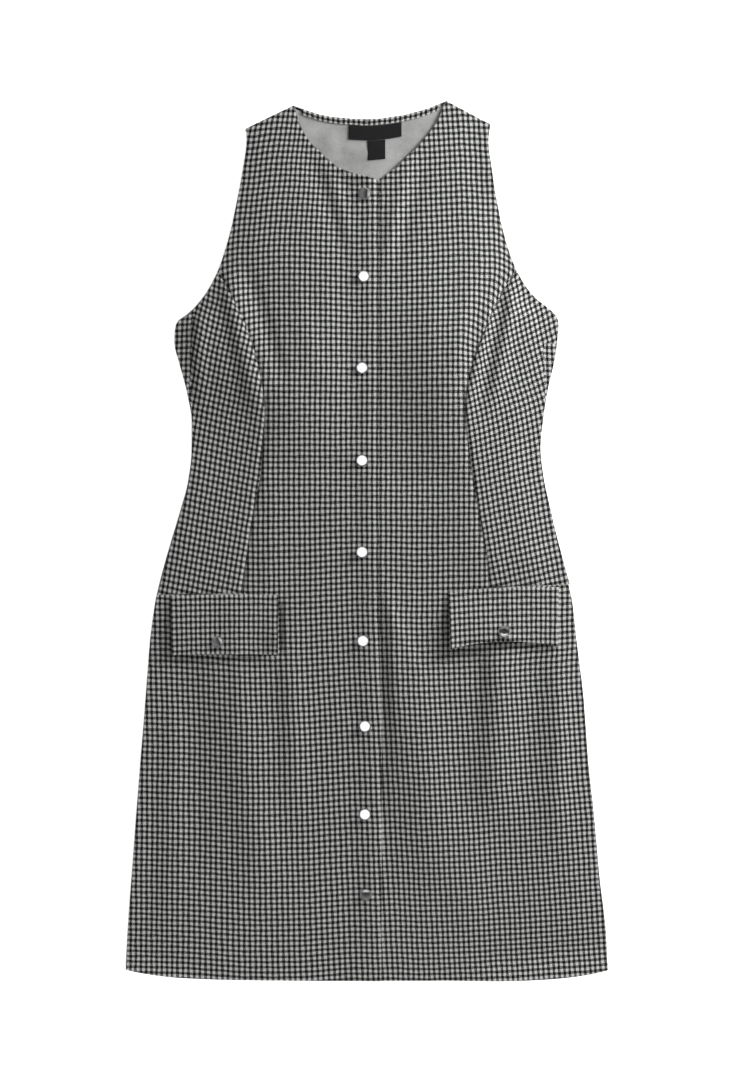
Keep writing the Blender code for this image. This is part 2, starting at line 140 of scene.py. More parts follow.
SKIRT_SIDE = 85.0      # of its part below a side panel,
SIDE_PANEL = 80.0      # of the side panel,
NECK_FAN = 100.0       # and of the rows that fan out from the yoke to the neckline
SKIRT_EDGE = 215.0     # about how far out the skirt's sides stand

# ---- neckline and placket ---------------------------------------------------------------
PLACKET = [            # free edge of the upper front, right over left, from hem to neck
    Edge(-436, 14.4),
    Edge(-340, 14.7),
    Edge(-210, 14.8),
    Edge(-150, 13.8),
    Edge(-50, 12.5),
    Edge(60, 11.9),
    Edge(230, 12.4),
    Edge(358, 12.3),
]
UNDER_EDGE = -12.5
YOKE_LEVEL = 348.0
NECKLINE = {
    "right": [Spot(12.3, 348), Spot(12.0, 355.2), Spot(3.5, 358.8), Spot(-8.5, 361.8),
              Spot(-26.4, 368.2), Spot(-42.7, 381.5), Spot(-57.3, 396.0), Spot(-66.4, 412.8),
              Spot(-71.8, 430.5)],
    "left": [Spot(-12.5, 348), Spot(-12.5, 354.0), Spot(-4.0, 354.8), Spot(10.2, 356.8),
             Spot(22.0, 363.8), Spot(37.8, 377.8), Spot(55.6, 396.0), Spot(69.2, 414.0),
             Spot(78.3, 435.1)],
}
BACK_NECK = [Spot(-71.8, 430.5), Spot(-58.0, 425.7), Spot(-46.1, 421.9), Spot(-34.3, 419.6),
             Spot(-10.6, 417.7), Spot(1.3, 417.3), Spot(13.1, 418.0), Spot(36.8, 421.5),
             Spot(60.5, 427.9), Spot(72.4, 432.9), Spot(78.3, 435.1)]
BACK_SHOULDERS = [Spot(-119.1, SHOULDER["right"]), Spot(122.3, SHOULDER["left"])]
BACK_YOKE = 330.0      # the back's rows bend up to its neckline from here,
HEM_CURVE = 60.0       # and follow the hem's curve this far up
TURNING_ENDS = (-64.5, 71.0)
TURNING_WIDTH = 6.5
TURNING_DROPS = [TURNING_WIDTH, 5.8, 4.6, 3.4, 2.2, 1.0, 0.3]    # its lines, below the edge
TURNING_MIDDLE = 3.3
TURNING_CHECK = (5.1, 5.3)

# ---- relief of the front ----------------------------------------------------------------
PUFF = 2.4             # of the body, less by a share towards the shoulders
PUFF_LOSS = 0.55
PUFF_LOSS_SPAN = Span(250, 170)
EDGE_ROLL = 34.0       # the body falls to the sides and to the hem over these lengths,
HEM_ROLL = 60.0
SKIRT_ROLL = 100.0     # and over this much more at the right of the skirt
SKIRT_ROLL_SPAN = Span(-20, -80)
LOOSE = 0.6            # the cloth's own small stand over the back, and its most
LOOSE_MOST = 0.75
LOOSE_ROLL = 12.0
BUST = {"x": 74.0, "y": 172.0, "spread_x": 44.0, "spread_y": 70.0, "rise": 8.0}
SEAM_RIDGE = 4.6       # height of the soft ridge that the left princess seam stands on,
RIDGE_INNER = 0.78     # and its share, width and ends on the centre panel
RIDGE_WIDTH = 38.0
RIDGE_FOOT = Span(-75, 70)
RIDGE_HEAD = Span(262, -60)
PLACKET_FLAT = 14.0    # the folds die away over this length beside the placket
FOLD_FADE = 0.22       # share of a fold's length over which it dies away at each end
FOLDS = [              # main creases, as in the solids
    Fold(-142, 268, -110, 138, 10.0, 4.4),    # the right bust fold: its crest,
    Fold(-118, 266, -82, 158, 9.0, -3.2),     # the valley towards the centre,
    Fold(-155, 244, -134, 152, 8.0, 0.7),     # and its gentler side, away from the light
    Fold(106, 268, 86, 178, 9.0, 1.6),        # the left bust folds
    Fold(122, 228, 99, 132, 6.5, 1.7),
    Fold(137, 254, 112, 140, 7.0, -2.8),
    Fold(148, 264, 126, 140, 8.0, 3.0),
    Fold(-54, 374, -22, 284, 8.0, -1.4),      # drawn in by the top snap
    Fold(54, 368, 31, 280, 8.0, -1.5),
    Fold(19, -56, 33, -190, 10.0, 1.8),       # the skirt, left front: its first ridge,
    Fold(36, -96, 74, -345, 29.0, 5.2),       # the broad one that it runs into,
    Fold(107, -112, 110, -196, 9.0, -1.2),    # and those under the flap
    Fold(133, -104, 124, -264, 19.0, 5.6),
    Fold(169, -112, 158, -240, 9.0, -1.4),
    Fold(196, -112, 186, -290, 12.0, 3.0),
    Fold(98, -270, 106, -380, 20.0, 1.8),
    Fold(-134, -124, -104, -335, 21.0, 3.2),  # the skirt, right front
    Fold(-75, -112, -70, -262, 13.0, 2.4),
    Fold(-176, -122, -168, -300, 12.0, -1.4),
    Fold(-196, -150, -192, -395, 16.0, 1.6),
    Fold(-150, 116, -146, -62, 58.0, -2.6),   # the waist falls away to the right side
]
CREASES = [            # finer creases that only the cloth shows
    Fold(-40, 374, -14, 298, 6.5, 1.3),       # beside the top snap
    Fold(40, 370, 18, 284, 6.5, 1.3),
    Fold(-25, 355, -14, 340, 4.0, -1.1),
    Fold(-15, 341, -6, 332, 3.6, -0.9),
    Fold(-98, 262, -62, 150, 14.0, -2.1),     # fan towards the centre
    Fold(-52, 246, -40, 176, 8.0, -0.8),
    Fold(-84, 262, -66, 214, 7.0, -0.6),
    Fold(-44, 262, -38, 150, 11.0, 0.7),
    Fold(70, 250, 60, 200, 9.0, 0.7),
    Fold(112, 214, 94, 138, 5.5, -1.5),       # along the left princess seam
    Fold(-167, 240, -168, 136, 9.0, 4.5),     # along the right side seam, at the underarm,
    Fold(-161, 246, -139, 150, 12.0, 1.4),    # and the soft fall from there to the bust fold
    Fold(-95, 72, -24, 74, 9.0, -1.2),        # across the waist
    Fold(22, 62, 98, 64, 10.0, -1.5),
    Fold(-93, 56, -97, -46, 7.0, 0.8),
    Fold(40, 44, 30, 4, 9.0, 0.6),
    Fold(17, -58, 50, -128, 5.0, 1.3),        # beside the placket's edge
    Fold(-92, -118, -88, -216, 8.0, -0.6),    # under the right flap
    Fold(-140, -112, -137, -168, 8.0, -0.9),
    Fold(112, -112, 113, -150, 6.5, -1.2),    # under the left flap
    Fold(-222, -260, -226, -380, 9.0, -0.8),
]
POCKET_GAPS = [        # the cloth dips at the inner end of each pocket mouth
    Fold(-85.2, -62, -85.0, -108, 2.0, -2.8),
    Fold(78.2, -60, 79.6, -100, 2.2, -2.8),
]
STANDING_EDGES = [     # the hem stands up a little towards its corners
    Fold(104, -440, 252, -427, 13.0, 8.0),
    Fold(118, -416, 236, -398, 6.0, -1.2),
    Fold(-244, -426, -176, -438, 8.0, 2.6),
    Fold(-238, -404, -170, -420, 5.0, -0.7),
    Fold(-216, -120, -237, -400, 13.0, 1.8),  # and so does the right edge of the skirt,
    Fold(122, 416, 128, 340, 10.0, 2.6),      # and the left armhole by the shoulder
]
NECK_WAVES = [         # soft waves of the back where it shows inside the neck
    Fold(-16, 385, 26, 381, 7.0, 1.1),
    Fold(-44, 404, -30, 388, 7.0, 0.8),
]
NECK_STANDS = [        # the right front's corner stands up above the top snap
    Fold(-30, 369, 8, 358, 8.5, 2.6),
]
SIDE_SEAMS = {         # where each side seam shows on the front, rolled forward: x at a height
    "right": [(112, 172.5), (150, 174.0), (200, 173.0), (232, 170.0)],
    "left": [(122, 176.5), (150, 176.5), (185, 174.8), (208, 172.0), (240, 163.0)],
}
SEAM_DIP = 1.15        # depth and width of the groove along a sewn seam,
SEAM_WIDTH = 1.9
SEAM_PUCKER = 0.28     # uneven along it by this share, up or down
SEAM_FOOT = Span(-60, 8)
SEAM_HEAD = Span(PRINCESS_TOP + 12, -12)
ROLLED_DIP = {"right": 1.3, "left": 0.9}     # and along a side seam that shows
ROLLED_WIDTH = 3.0
ROLLED_FOOT = Span(112, 30)
ROLLED_HEAD = Span(250, -10)
EDGE_DIP = 0.7         # depth and width of the dip along the placket's free edge,
EDGE_WIDTH = 3.4
UNDER_DIP = 0.3        # and of the dip in the under panel, a little further out
UNDER_DIP_WIDTH = 2.4
UNDER_DIP_OUT = 1.4
UNDER_DIP_MORE = 1.0   # it is deeper in the skirt, and by a share of that near the neck
UNDER_DIP_LOW = [Span(-30, -40), Span(-330, 120)]
UNDER_DIP_HIGH = Span(220, 70)
UNDER_DIP_HIGH_SHARE = 0.9
FREE_HEM = 70.0        # the lap's plies part over this length above the hem
UNDER_DROP = 1.15      # how far the under edge may lie lower there
LAP_START = -27.0      # the lap climbs over the under edge from here, over this length,
LAP_SLOPE = 18.0
LAP_GIVE = 8.0         # and above the hem by this much later and longer
LAP_LIFT = 0.3         # the lap's free edge stands higher by this, and below the waist
LAP_LIFT_LOW = 0.8     # by this much more
LAP_LIFT_SPAN = Span(60, -120)
LAP_FREE = Span(-11, 23)     # where that grows, across the lap
HEM_FOLD = 27.0        # depth of the turned-up hem, and the step that it makes
HEM_STEP = 0.2
HEM_STEP_WIDTH = 2.4
FRONT_SINK = 0.15      # the whole front lies this much lower than its relief and steps say,
LEAST_RISE = -0.02     # but no dip takes its face lower than this from the front's floor
RIPPLE = 0.10          # amplitude of the small unevenness of knit lying loose
RIPPLE_WAVES = 14
RIPPLE_LENGTHS = (17, 62)

# ---- pocket flaps -----------------------------------------------------------------------
FLAPS = {
    "right": FlapCut(Spot(-87.4, -53.0), Spot(-194.0, -54.0), Spot(-87.2, -112.4),
                     Spot(-192.6, -112.6), 1.0, 0.6, 3.0),
    "left": FlapCut(Spot(80.6, -49.4), Spot(189.8, -45.6), Spot(82.4, -106.6),
                    Spot(189.0, -104.6), 1.6, 6.6, 2.2),
}
FLAP_WAVES = {         # soft waves down each flap
    "right": [Fold(-130, -48, -130, -116, 9.0, 0.8), Fold(-152, -48, -152, -116, 8.0, -0.5),
              Fold(-176, -48, -176, -116, 9.0, 0.4)],
    "left": [Fold(131, -44, 131, -106, 6.5, -0.7), Fold(141, -44, 141, -106, 7.0, 0.6),
             Fold(101, -44, 101, -106, 8.0, 0.5), Fold(179, -44, 179, -106, 2.2, -0.7)],
}
FLAP_ROW = {"right": 5.62, "left": 5.85}     # height of one row of checks on a flap
FLAP_COLUMN = 4.78     # and width of one column
FLAP_CLEAR = 0.55      # air below a flap, and how much more at its free edge
FLAP_RISE = 0.9
FLAP_TILT = {"right": 2.2, "left": 5.4}      # rise of its end away from the light
BRIDGE = (-6, 0, 6)    # a flap bridges what lies this far round each point, this sharply
BRIDGE_SHARP = 6.0
FLAP_SNAP_DIP = 0.35   # depth and reach of the dip that its snap presses
FLAP_SNAP_REACH = 8.5
STITCH_LINE = 8.0      # the stitching beside its free edge: how far in, how deep, how wide
STITCH_DIP = 0.5
STITCH_WIDTH = 1.6
FLAP_RIPPLE = 0.8
FLAP_RIPPLE_FINER = 1.7

# ---- snaps: place, and how far each cap leans, in degrees --------------------------------
FRONT_SNAPS = [Cap(-1.7, 342.6, -12.1, -3.3), Cap(-2.9, 261.1, 0, 0), Cap(-4.6, 170.8, 0, 0),
               Cap(-4.6, 79.5, 0, 0), Cap(-4.6, -10.9, 0, 0), Cap(-3.7, -98.5, 0, 0),
               Cap(-1.7, -182.7, 0, 0), Cap(-1.7, -269.6, 0, 1), Cap(-0.7, -348.6, 0, -7.8)]
FLAP_SNAPS = {"right": Cap(-147.1, -99.7, -9.3, -4.3), "left": Cap(135.3, -89.1, -0.9, 11.6)}
SNAP_REACH = 5.6       # radius of the cap's underside
SNAP_CLEAR = 0.35
SNAP_DIPS = [(8.2, 0.75), (-8.2, 0.6)]       # dips above and below a cap: how far, how deep
SNAP_DIP_REACH = (3.4, 2.0)
SNAP_PROFILE = [(0.0, 1.82), (1.3, 1.82), (2.6, 1.81), (3.6, 1.78), (3.95, 1.74), (4.2, 1.73),
                (4.45, 1.765), (4.85, 1.74), (5.3, 1.63), (5.62, 1.38), (5.84, 1.02),
                (5.97, 0.68), (6.0, 0.38), (5.9, 0.14), (5.6, 0.0), (0.0, 0.0)]
SNAP_STEPS = 48
CAP_WIDTH = 2 * max(radius for radius, _ in SNAP_PROFILE) * MM

# ---- labels inside the back neck --------------------------------------------------------
RIB = 0.42             # from one woven rib of a tape to the next
LABEL = Tape(8.3, 52.4, 14.2, 0.4)
TACK_INSET = (1.1, 1.2)      # the tacks lie this far inside the label's sides and ends
SIZE_TAB = Tape(9.6, 17.6, 19.4, 0.4)

# ---- how the check lies: bow of its rows, in mm, and height of one row ------------------
YOKE_BOW = [(-150, -0.8), (-125, 1.4), (-82, 3.5), (-36, 1.9), (-7, 0.2), (23, 0.5),
            (53, 2.5), (97, 5.4), (120, 4.6), (150, 2.6)]
SKIRT_BOW = [(-235, 1.8), (-184, 0.0), (-155, -1.8), (-110, -4.5), (-66, -3.9), (-36, -1.8),
             (-7, -0.1), (23, -0.4), (53, -1.2), (82, -0.5), (112, 0.6), (141, 2.3),
             (171, 4.5), (235, 9.5)]
ROW_HEIGHT = [(-430, 5.15), (-335, 5.38), (-215, 5.68), (-60, 5.62), (90, 5.68), (150, 5.85),
              (200, 5.6), (300, 5.75), (420, 5.8)]
SIDE_COLUMN_SHIFT = {"right": [(-60, -9.0), (0, 0), (60, 8.2), (150, 20), (260, 39)],
                     "left": [(-60, -9.6), (0, 0), (60, 8.6), (140, 18.5), (200, 32),
                              (260, 47)]}
SIDE_ROW_LEAN = {"right": [(-60, 12.7), (60, 14.6), (260, 20.0)],
                 "left": [(-60, 12.5), (60, 17.0), (150, 22.0), (260, 29.0)]}
SIDE_STEEP = {"right": 3.5, "left": 0.0}     # the rows rise faster beside the side seam, mm
STEEP_WIDTH = 11.0
STEEP_SPAN = Span(130, 50)
ROLLED_FOOT_LEVEL = 116.0    # foot and top of the back's cloth that shows beyond that seam
ROLLED_TOP = {"right": 260.0, "left": 193.0}
SEAM_PULL = {"right": 3.0, "left": 8.0}      # how far the rows drop at the bust seam, mm
PULL_REACH = 26.0            # how far in from the seam, and from which height up
PULL_SPAN = Span(165, 50)
PULL_ASIDE = 0.3             # the columns give by this share of it
COLUMN_DRIFT = {"right": Drift(0.046, 0.085), "left": Drift(0.056, -0.036)}
DRIFT_FLARE = 90.0           # it grows over this length down the skirt and across the yoke,
DRIFT_YOKE = 285.0           # which it wanders in from here up,
DRIFT_END = 190.0            # and in the right skirt it ends this far out
SKIRT_BOW_SPAN = Span(70, -110)
YOKE_BOW_SPAN = Span(110, 170)
CHECK_START = {"right": 8.2, "left": 16.4}   # x of a light column beside the placket, mm
SIDE_CHECK = (0.95, 5.85)    # checks of a side panel: width as a share, and height in mm,
SIDE_SLANT = 14.0            # slanted by about this many degrees
SIDE_MIDDLE = 145.0
ROLLED_CHECK = (4.9, 5.75)   # checks of the back's cloth beyond a side seam, in mm,
ROLLED_LEAN = (0.03, 0.04)   # and how much its columns and rows lean
SPARE_WIDTH = 1.02           # a cut piece is wider and longer than it lies, by its curves
SPARE_LENGTH = 1.01
WALES = 3                    # stitches across one dark or light stripe
CHECK_WANDER = [(26.0, 0.22), (150.0, 0.16)]    # waves a metre, and how far, in checks


# ---- curves through the tables ----------------------------------------------------------
def smooth_curve(rows):
    """Read the smooth curve through a table of pairs; it never swings past its values."""
    keys, values = (np.array(column, float) for column in zip(*rows))
    steps = np.diff(values) / np.diff(keys)
    inner = np.zeros(len(steps) - 1)
    same = steps[:-1] * steps[1:] > 0
    inner[same] = 2 / (1 / steps[:-1][same] + 1 / steps[1:][same])
    tangents = np.concatenate([steps[:1], inner, steps[-1:]])

    def read(at):
        at = np.clip(at, keys[0], keys[-1])
        i = np.clip(np.searchsorted(keys, at, side="right") - 1, 0, len(keys) - 2)
        span = keys[i + 1] - keys[i]
        t = (at - keys[i]) / span
        near = (1 + 2 * t) * (1 - t) ** 2 * values[i] + t * (1 - t) ** 2 * span * tangents[i]
        far = t * t * (3 - 2 * t) * values[i + 1] + t * t * (t - 1) * span * tangents[i + 1]
        return near + far

    return read


def half_widths(table):
    return {side: smooth_curve([(row.height, getattr(row, side)) for row in table])
            for side in SIGN}


side_width = half_widths(SIDES)
princess_width = half_widths(PRINCESS)
placket_edge = smooth_curve(PLACKET)
back_neck_height = smooth_curve(BACK_NECK)
yoke_bow = smooth_curve(YOKE_BOW)
skirt_bow = smooth_curve(SKIRT_BOW)


def ease(value):
    """Smooth step from 0 to 1."""
    value = np.clip(value, 0.0, 1.0)
    return value * value * (3 - 2 * value)


def within(value, span):
    """Smooth step from 0 at a span's start to 1 at its end; its length may be negative."""
    return ease((value - span.start) / span.length)


def bell(distance, width):
    """Round bump, 1 high, that a fold, groove or dip has across."""
    return np.exp(-(distance / width) ** 2)


def cloth():
    """The cloth's settings."""
    return bpy.context.scene.dress_cloth


def hem_height(x):
    across = np.abs(x) / SIDES[0].left
    return HEM_MIDDLE + HEM_LIFT * across ** 6 + HEM_BOW * across ** 2


def hip_height(x):
    return HIP_MIDDLE + HIP_SLOPE * x


# ---- form of the laid front -------------------------------------------------------------
def fold_rise(fold, x, y):
    """Height of one fold: round across, and dying away at both ends."""
    run_x, run_y = fold.x1 - fold.x0, fold.y1 - fold.y0
    length = math.hypot(run_x, run_y)
    along = ((x - fold.x0) * run_x + (y - fold.y0) * run_y) / length
    across = ((x - fold.x0) * run_y - (y - fold.y0) * run_x) / length
    fade = FOLD_FADE * length
    ends = ease((along + fade) / (2 * fade)) * ease((length - along + fade) / (2 * fade))
    return fold.rise * ends * bell(across, fold.width)


def folds_rise(folds, x, y):
    """Height of several folds together."""
    return sum(fold_rise(fold, x, y) for fold in folds)


def ripple(x, y):
    """Small soft unevenness, made of a few waves in seeded directions."""
    draw = np.random.default_rng(11)
    total = 0.0
    for _ in range(RIPPLE_WAVES):
        angle, length = draw.uniform(0, math.pi), draw.uniform(*RIPPLE_LENGTHS)
        start = draw.uniform(0, 6.3)
        reach = x * math.cos(angle) + y * math.sin(angle)
        total = total + (length / 40) * np.sin(reach * math.tau / length + start)
    return RIPPLE * total / math.sqrt(RIPPLE_WAVES / 2)


def seam_ridge(x, y):
    """The soft ridge under the left princess seam: it falls away to the side, and inwards."""
    seam, edge = princess_width["left"](y), side_width["left"](y)
    fall = np.where(x > seam, np.clip((edge - x) / np.maximum(edge - seam, 1.0), 0, 1),
                    RIDGE_INNER * bell(x - seam, RIDGE_WIDTH))
    return SEAM_RIDGE * within(y, RIDGE_FOOT) * within(y, RIDGE_HEAD) * fall


def relief(x, y):
    """How far the front stands above a front lying flat on the back."""
    edge = np.minimum(x + side_width["right"](y), side_width["left"](y) - x)
    above_hem = y - hem_height(x)
    from_hem = ease(above_hem / HEM_ROLL)
    roll = EDGE_ROLL + SKIRT_ROLL * within(y, SKIRT_ROLL_SPAN) * (x < 0)
    body = PUFF * (1.0 - PUFF_LOSS * within(y, PUFF_LOSS_SPAN)) * ease(edge / roll) * from_hem
    bust = sum(bell(x - sign * BUST["x"], BUST["spread_x"]) * bell(y - BUST["y"], BUST["spread_y"])
               for sign in (-1, 1))
    placket = np.maximum(np.maximum(UNDER_EDGE - x, x - placket_edge(y)), 0.0)
    folds = ease(placket / PLACKET_FLAT) * folds_rise(FOLDS + CREASES, x, y)
    loose = ease(edge / LOOSE_ROLL) * ease(above_hem / LOOSE_ROLL) * (LOOSE + ripple(x, y))
    form = BUST["rise"] * bust + folds + seam_ridge(x, y)
    form = np.maximum(body + ease(edge / EDGE_ROLL) * from_hem * form, 0.0)
    return form + np.minimum(loose, LOOSE_MOST)


def dimples(x, y):
    """The cloth draws in a little above and below each snap."""
    reach_x, reach_y = SNAP_DIP_REACH
    return -sum(depth * bell(x - cap.x, reach_x) * bell(y - cap.y - away, reach_y)
                for cap in FRONT_SNAPS for away, depth in SNAP_DIPS)


def side_seam(side, y):
    """X of the side seam where it has rolled on to the front, as a half width."""
    return smooth_curve(SIDE_SEAMS[side])(y)


def grooves(side, x, y):
    """Narrow dips: along the princess and side seams, and beside the edge of the placket."""
    out = SIGN[side] * x
    pucker = 1 - SEAM_PUCKER * (1 - np.sin(y / 9.0 + 2.0 * np.sin(y / 23.0)))
    sewn = SEAM_DIP * within(y, SEAM_FOOT) * within(y, SEAM_HEAD) * pucker
    rolled = ROLLED_DIP[side] * within(y, ROLLED_FOOT) * within(y, ROLLED_HEAD)
    total = (-sewn * bell(out - princess_width[side](y), SEAM_WIDTH)
             - rolled * bell(out - side_seam(side, y), ROLLED_WIDTH))
    from_edge = x - placket_edge(y)
    if side == "right":
        return total - EDGE_DIP * bell(from_edge, EDGE_WIDTH)
    top, foot = UNDER_DIP_LOW
    more = within(y, top) * within(y, foot) + UNDER_DIP_HIGH_SHARE * within(y, UNDER_DIP_HIGH)
    depth = UNDER_DIP + UNDER_DIP_MORE * more
    return total - depth * bell(from_edge - UNDER_DIP_OUT, UNDER_DIP_WIDTH)


def lap_rise(side, x, y):
    """How the placket's plies lie: the right front climbs over the left one's under edge."""
    free = ease((y - hem_height(x)) / FREE_HEM)
    if side == "left":
        return -UNDER_DROP * free * ease((placket_edge(y) - 2 - x) / LAP_SLOPE)
    give = LAP_GIVE * free
    climb = (CLOTH + PLY_GAP) * ease((x - LAP_START - give) / (LAP_SLOPE + give))
    lift = LAP_LIFT + LAP_LIFT_LOW * within(y, LAP_LIFT_SPAN)
    across = np.clip((x - LAP_FREE.start) / LAP_FREE.length, 0, 1.1)
    return climb + lift * across + folds_rise(NECK_STANDS, x, y)


def front_top(side, x, y):
    """Height of a front panel's upper face; the under edge lies low where there is room."""
    hem = HEM_STEP * ease((hem_height(x) + HEM_FOLD - y) / HEM_STEP_WIDTH)
    small = folds_rise(POCKET_GAPS + STANDING_EDGES, x, y) + grooves(side, x, y) + dimples(x, y)
    rise = relief(x, y) - FRONT_SINK + hem + lap_rise(side, x, y) + small
    return FRONT_FLOOR + np.maximum(rise, LEAST_RISE)


# ---- how the cloth was cut: lengths along it instead of across the table ----------------
CUT_STEP = 2.0
cut_x = np.arange(-244, 245, CUT_STEP)
cut_y = np.arange(-444, 445, CUT_STEP)


def spare_lengths():
    """How much longer the front's cloth is than its shadow, along x from the centre line and
    along y from the hip, on a grid."""
    height = relief(*np.meshgrid(cut_x, cut_y))
    slope_y, slope_x = np.gradient(height, CUT_STEP)
    spare_x = np.cumsum(np.sqrt(1 + slope_x ** 2) - 1, axis=1) * CUT_STEP
    spare_y = np.cumsum(np.sqrt(1 + slope_y ** 2) - 1, axis=0) * CUT_STEP
    spare_x -= spare_x[:, [np.searchsorted(cut_x, 0)]]
    spare_y -= spare_y[[np.searchsorted(cut_y, HIP_MIDDLE)], :]
    return spare_x, spare_y


SPARE_X, SPARE_Y = spare_lengths()
ROW_LEVELS = np.arange(-444, 446, 1.0)
ROW_COUNT = np.cumsum(1.0 / smooth_curve(ROW_HEIGHT)(ROW_LEVELS))


def read_grid(grid, x, y):
    """Bilinear reading of a grid of spare lengths."""
    at_x = np.clip((x - cut_x[0]) / CUT_STEP, 0, len(cut_x) - 1.001)
    at_y = np.clip((y - cut_y[0]) / CUT_STEP, 0, len(cut_y) - 1.001)
    i, j = at_x.astype(int), at_y.astype(int)
    s, t = at_x - i, at_y - j
    low = grid[j, i] * (1 - s) + grid[j, i + 1] * s
    high = grid[j + 1, i] * (1 - s) + grid[j + 1, i + 1] * s
    return low * (1 - t) + high * t


def rows_up_to(y):
    """Rows of checks below a height, with the row height of that part of the dress."""
    return np.interp(y, ROW_LEVELS, ROW_COUNT)


def column_drift(side, x, y):
    """How far the columns wander sideways: in the skirt as it flares, and at the shoulder."""
    drift = COLUMN_DRIFT[side]
    below, above = np.maximum(HIP_MIDDLE - y, 0.0), np.maximum(y - DRIFT_YOKE, 0.0)
    skirt = drift.skirt * below ** 2 / (below + DRIFT_FLARE)
    if side == "right":
        skirt = skirt * (1 - np.clip(-x / DRIFT_END, 0, 1))
    return skirt + drift.yoke * above ** 1.5 / 9.0 * ease(np.abs(x) / DRIFT_FLARE)


def middle_cut(side, x, y):
    """Columns and rows of checks at points of a centre panel."""
    bow = skirt_bow(x) * within(y, SKIRT_BOW_SPAN) + yoke_bow(x) * within(y, YOKE_BOW_SPAN)
    near = np.clip((SIGN[side] * x - princess_width[side](y)) / PULL_REACH + 1, 0, 1) ** 2
    pull = near * within(y, PULL_SPAN) * SEAM_PULL[side]
    along = x + read_grid(SPARE_X, x, y) - column_drift(side, x, y)
    along = along + PULL_ASIDE * SIGN[side] * pull
    grain = placket_edge(y) - PLACKET[-1].x if side == "right" else 0.0
    columns = (along - grain - CHECK_START[side]) / (cloth().check_width / MM)
    return columns, rows_up_to(y + read_grid(SPARE_Y, x, y) - bow + pull)


def side_cut(side, x, y):
    """Columns and rows of checks at points of a side panel, which is cut at a slant."""
    sign = SIGN[side]
    wide, high = SIDE_CHECK
    slant = math.radians(SIDE_SLANT)
    row_lean = np.radians(smooth_curve(SIDE_ROW_LEAN[side])(y))
    along = (x + read_grid(SPARE_X, x, y)) * sign
    up = y + read_grid(SPARE_Y, x, y)
    steep = SIDE_STEEP[side] * within(y, STEEP_SPAN) * bell(sign * x - side_seam(side, y),
                                                            STEEP_WIDTH)
    shift = smooth_curve(SIDE_COLUMN_SHIFT[side])(up)
    columns = (0.989 * along + shift) / (wide * cloth().check_width / MM)
    rows = (up - (along - SIDE_MIDDLE) * np.tan(row_lean) - steep) * math.cos(slant) / high
    return columns * sign, rows


def rolled_cut(side, x, y):
    """Columns and rows beyond the side seam, where the back's cloth comes round upright, and
    how far beyond the seam each point lies."""
    wide, high = ROLLED_CHECK
    along, up = x * SIGN[side], y + read_grid(SPARE_Y, x, y)
    shows = (y > ROLLED_FOOT_LEVEL) & (y < ROLLED_TOP[side])
    beyond = np.where(shows, along - side_seam(side, y), -1.0)
    lean_x, lean_y = ROLLED_LEAN
    columns, rows = (along + lean_x * up) / wide * SIGN[side], (up + lean_y * along) / high
    return columns, rows, beyond


# ---- grids of points --------------------------------------------------------------------
def spaced(length, step, fine=()):
    """Shares of a length for the lines of a grid, close at both ends and at fine places."""
    ends = np.array([0.0, 0.6, 1.4, 2.4])
    first = ends[-1] + step
    count = max(int(round((length - 2 * first) / step)), 1)
    inner = np.linspace(first, length - first, count + 1)
    for place, reach in fine:
        inner = inner[np.abs(inner - place) > reach + 0.6]
        inner = np.concatenate([inner, np.arange(place - reach, place + reach + 0.1, 0.9)])
    return np.sort(np.concatenate([ends, inner, length - ends])) / length


def outer_edge(side, y):
    """X of a centre panel's outer edge above the hip seam: princess seam, then armhole."""
    seam = SIGN[side] * (princess_width[side](y) - SEAM_GAP / 2)
    return np.where(y <= PRINCESS_TOP, seam, SIGN[side] * side_width[side](y))


def body_level(height, x):
    """A section's height at x: it follows the hip seam's slope, less so higher up."""
    share = (height - HIP_MIDDLE) / (YOKE_LEVEL - HIP_MIDDLE)
    return hip_height(x) + share * (YOKE_LEVEL - hip_height(x))


def free_edge(side, y):
    return placket_edge(y) if side == "right" else UNDER_EDGE + 0.0 * y


def front_grid(side, step):
    """X and Y of a centre panel's points, neck to hem, and which of them it has."""
    sign = SIGN[side]
    hip_edge = float(outer_edge(side, HIP_MIDDLE))
    pocket_end = abs(hip_edge) - abs(FLAPS[side].inner_top.x) + 1.0
    middle = spaced(abs(hip_edge - free_edge(side, HIP_MIDDLE)), step, [(pocket_end, 4.0)])
    outer = spaced(SKIRT_SIDE, step)[:-1]
    rows = []
    for t in spaced(SKIRT_LENGTH, step):
        def level(x, t=t):
            return hem_height(x) + t * (hip_height(x) - hem_height(x))

        start = hip_edge * (1.05 - 0.05 * t)
        line = start + middle * (free_edge(side, level(0.0)) - start)
        edge = sign * side_width[side](level(sign * SKIRT_EDGE))
        across = np.concatenate([edge + outer * (start - edge), line])
        rows.append((across, level(across)))
    for height in np.arange(HIP_MIDDLE + step, YOKE_LEVEL + 0.1, step):
        start = outer_edge(side, height)
        line = start + middle * (free_edge(side, height) - start)
        rows.append((line, body_level(height, line)))
    fan = list(enumerate(NECKLINE[side]))
    fan_x = smooth_curve([(i, spot.x) for i, spot in fan])
    fan_y = smooth_curve([(i, spot.y) for i, spot in fan])
    last = rows[-1][0]
    shares = (last - last[0]) / (last[-1] - last[0])
    for t in spaced(NECK_FAN, step)[1:]:
        at = t * (len(fan) - 1)
        y = YOKE_LEVEL + (SHOULDER[side] - YOKE_LEVEL) * t
        x = outer_edge(side, y)
        rows.append((x + shares * (fan_x(at) - x), y + shares * (fan_y(at) - y)))
    blank = np.full(len(outer), np.nan)
    full = [[np.concatenate([blank, row]) if len(row) < len(blank) + len(middle) else row
             for row in pair] for pair in rows]
    return tuple(np.array(grid) for grid in zip(*full))


